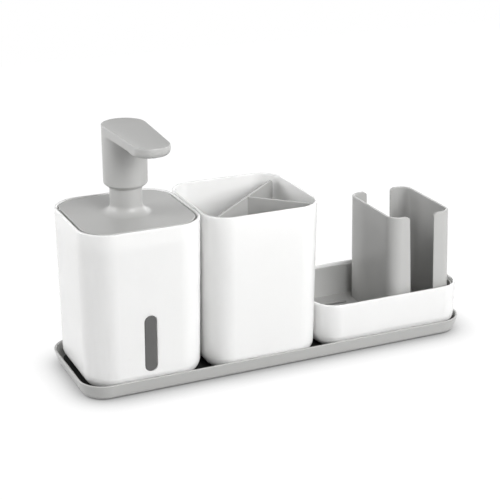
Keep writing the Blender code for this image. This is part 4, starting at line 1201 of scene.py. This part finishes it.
insert_side = soften([
    (INSERT_FLOOR_INSET, INSERT_UNDERSIDE, 0),
    (0, INSERT_UNDERSIDE, 0.0035),
    (0, INSERT_TOP, 0.0005),
    (INSERT_WALL, INSERT_TOP, 0.0005),
    (INSERT_WALL, INSERT_FLOOR_LEVEL, 0.0006),
    (INSERT_FLOOR_INSET, INSERT_FLOOR_LEVEL, 0),
])
insert_side = [(INSERT_INSET + inset, level) for inset, level in insert_side]
insert = skin("drainer_tub", cup_rings(
    DISH_HALF_LENGTH, DISH_HALF_DEPTH, DISH_CORNER, DISH_X, DISH_RIM_LEVEL, insert_side,
))
peg_side = soften([
    (PEG_RADIUS / 2, PEG_BOTTOM, 0),
    (PEG_RADIUS, PEG_BOTTOM, 0.0005),
    (PEG_RADIUS, PEG_TOP, 0),
    (PEG_RADIUS / 2, PEG_TOP, 0),
])
pegs = []
for side_x in (-1, 1):
    for side_y in (-1, 1):
        pegs.append(skin("peg", turned_rings(peg_side, DISH_X + side_x * PEG_X, side_y * PEG_Y)))
carve(insert, pegs, "UNION")

slot_sizes = ("Length", "Width", "Pitch", "Middle x", "Floor level")
slots, slot_inputs, wires = start_tree("row of slots", slot_sizes, ("Count",))
first = (wires["Count"] - 1) * wires["Pitch"] * -0.5
start = add_node(slots, "ShaderNodeCombineXYZ", {}, {
    "X": wires["Middle x"], "Y": first, "Z": wires["Floor level"],
})
step = add_node(slots, "ShaderNodeCombineXYZ", {}, {"Y": wires["Pitch"]})
row = add_node(slots, "GeometryNodeMeshLine", {}, {
    "Count": wires["Count"], "Start Location": start, "Offset": step,
})
plan = add_node(slots, "GeometryNodeCurvePrimitiveQuadrilateral", {}, {
    "Width": wires["Length"], "Height": wires["Width"],
})
ends = add_node(slots, "GeometryNodeFilletCurve", {"mode": "POLY"}, {
    "Curve": plan, "Count": SLOT_END_POINTS, "Radius": wires["Width"] * 0.499,
})
face = add_node(slots, "GeometryNodeFillCurve", {"mode": "NGONS"}, {"Curve": ends})
deep = add_node(slots, "GeometryNodeExtrudeMesh", {}, {"Mesh": face, "Offset Scale": SLOT_CUT})
turned_over = add_node(slots, "GeometryNodeFlipFaces", {}, {"Mesh": face})
closed = add_node(slots, "GeometryNodeJoinGeometry", {}, {})
slots.links.new(deep.socket, closed.socket.node.inputs[0])
slots.links.new(turned_over.socket, closed.socket.node.inputs[0])
welded = add_node(slots, "GeometryNodeMergeByDistance", {}, {
    "Geometry": closed, "Distance": 0.000001,
})
copies = add_node(slots, "GeometryNodeInstanceOnPoints", {}, {"Points": row, "Instance": welded})
finish_tree(slots, copies, grey_satin)

cut_bottom = INSERT_UNDERSIDE - 2 * OVERCUT
cut_top = INSERT_FLOOR_LEVEL + 2 * OVERCUT
cutters = []
for length, middle_x in SLOT_ROWS:
    cutters.append(grow_from_tree("slot row", slots, slot_inputs, {
        "Length": length, "Width": SLOT_WIDTH, "Pitch": SLOT_PITCH, "Middle x": middle_x,
        "Floor level": cut_bottom, "Count": SLOT_COUNT,
    }))
for guard in GUARDS.values():
    levels = (cut_bottom, cut_top)
    rings = [guard_ring(guard, level, -GUARD_PLAY, -GUARD_PLAY) for level in levels]
    cutters.append(skin("guard slot", rings))
carve(insert, cutters)
shade(insert, grey_satin)
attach(insert, "drainer")
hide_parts("drainer_insert")


# Studio: a wide pale floor inside a ring of large soft lamps, two of them at the front. The floor
# and the sky are white to the eye. The floor's glow carries a painted contact shadow, darkened
# by ambient occlusion near the object; only a small share shows the lamps' real shadow.
FLOOR_SIZE = 1.90
FLOOR_COLOR = (0.60, 0.60, 0.60, 1)
FLOOR_GLOW = 1.085
GLOW_SHARE = 0.92
# Painted contact shadow: how far its ambient occlusion reaches, and how deep it darkens the glow.
PAINTED_SHADOW_REACH = 0.022
PAINTED_SHADOW_DEPTH = 0.86
LAMP_AIM = Vector((0, 0, 0.08))
# Each lamp: heading in degrees from the front towards the right, distance, level of its middle,
# width, height and power.
LAMPS = {
    "front": (12, 1.00, 0.54, 0.50, 0.46, 8.0),
    "front high": (8, 0.84, 0.84, 0.90, 0.70, 4.6),
    "right": (56, 1.10, 0.42, 0.64, 0.80, 3.7),
    "back right": (136, 1.10, 0.42, 0.70, 0.80, 3.8),
    "back left": (212, 1.10, 0.42, 0.70, 0.80, 3.2),
    "left": (254, 1.10, 0.42, 0.56, 0.80, 8.8),
}

floor_builder = bmesh.new()
bmesh.ops.create_grid(floor_builder, x_segments=8, y_segments=8, size=FLOOR_SIZE / 2)
floor_mesh = bpy.data.meshes.new("floor")
floor_builder.to_mesh(floor_mesh)
floor_builder.free()
floor = add_object("floor", floor_mesh)


def seen_directly(tree):
    """1 for the rays that show the background itself, in the lens, in gloss or through glass."""
    path = tree.nodes.new("ShaderNodeLightPath")
    names = ("Is Camera Ray", "Is Glossy Ray", "Is Transmission Ray")
    lens, gloss, glass = [Wire(tree, path.outputs[name]) for name in names]
    inputs = {0: lens + gloss + glass, 1: 1}
    return add_node(tree, "ShaderNodeMath", {"operation": "MINIMUM"}, inputs)


material = bpy.data.materials.new("white floor")
material.use_nodes = True
tree = material.node_tree
tree.nodes.clear()
matte = add_node(tree, "ShaderNodeBsdfDiffuse", {}, {"Color": FLOOR_COLOR})
# Painted contact shadow: ambient occlusion near the object darkens the floor's glow.
inputs = {"Distance": PAINTED_SHADOW_REACH}
painted_shadow_occlusion = add_node(tree, "ShaderNodeAmbientOcclusion", {"samples": 12}, inputs, "AO")
inputs = {0: painted_shadow_occlusion, 1: PAINTED_SHADOW_DEPTH}
painted_contact_shadow = add_node(tree, "ShaderNodeMath", {"operation": "POWER"}, inputs)
glow = add_node(tree, "ShaderNodeEmission", {}, {"Color": painted_contact_shadow * FLOOR_GLOW})
share = seen_directly(tree) * GLOW_SHARE
both = add_node(tree, "ShaderNodeMixShader", {}, {0: share, 1: matte, 2: glow})
output = tree.nodes.new("ShaderNodeOutputMaterial")
tree.links.new(both.socket, output.inputs["Surface"])
floor_mesh.materials.append(material)

world = bpy.data.worlds.new("sky")
bpy.context.scene.world = world
world.use_nodes = True
tree = world.node_tree
background = tree.nodes["Background"]
background.inputs["Color"].default_value = (1, 1, 1, 1)
tree.links.new(seen_directly(tree).socket, background.inputs["Strength"])

for name, (turned, distance, level, width, height, power) in LAMPS.items():
    name += " lamp"
    lamp = add_object(name, bpy.data.lights.new(name, "AREA"))
    lamp.data.shape = "RECTANGLE"
    lamp.data.size = width
    lamp.data.size_y = height
    lamp.data.energy = power
    turned = math.radians(turned)
    lamp.location = (distance * math.sin(turned), -distance * math.cos(turned), level)
    lamp.rotation_euler = (LAMP_AIM - lamp.location).to_track_quat("-Z", "Y").to_euler()
    lamp.visible_camera = False

bpy.context.scene.view_settings.view_transform = "Standard"
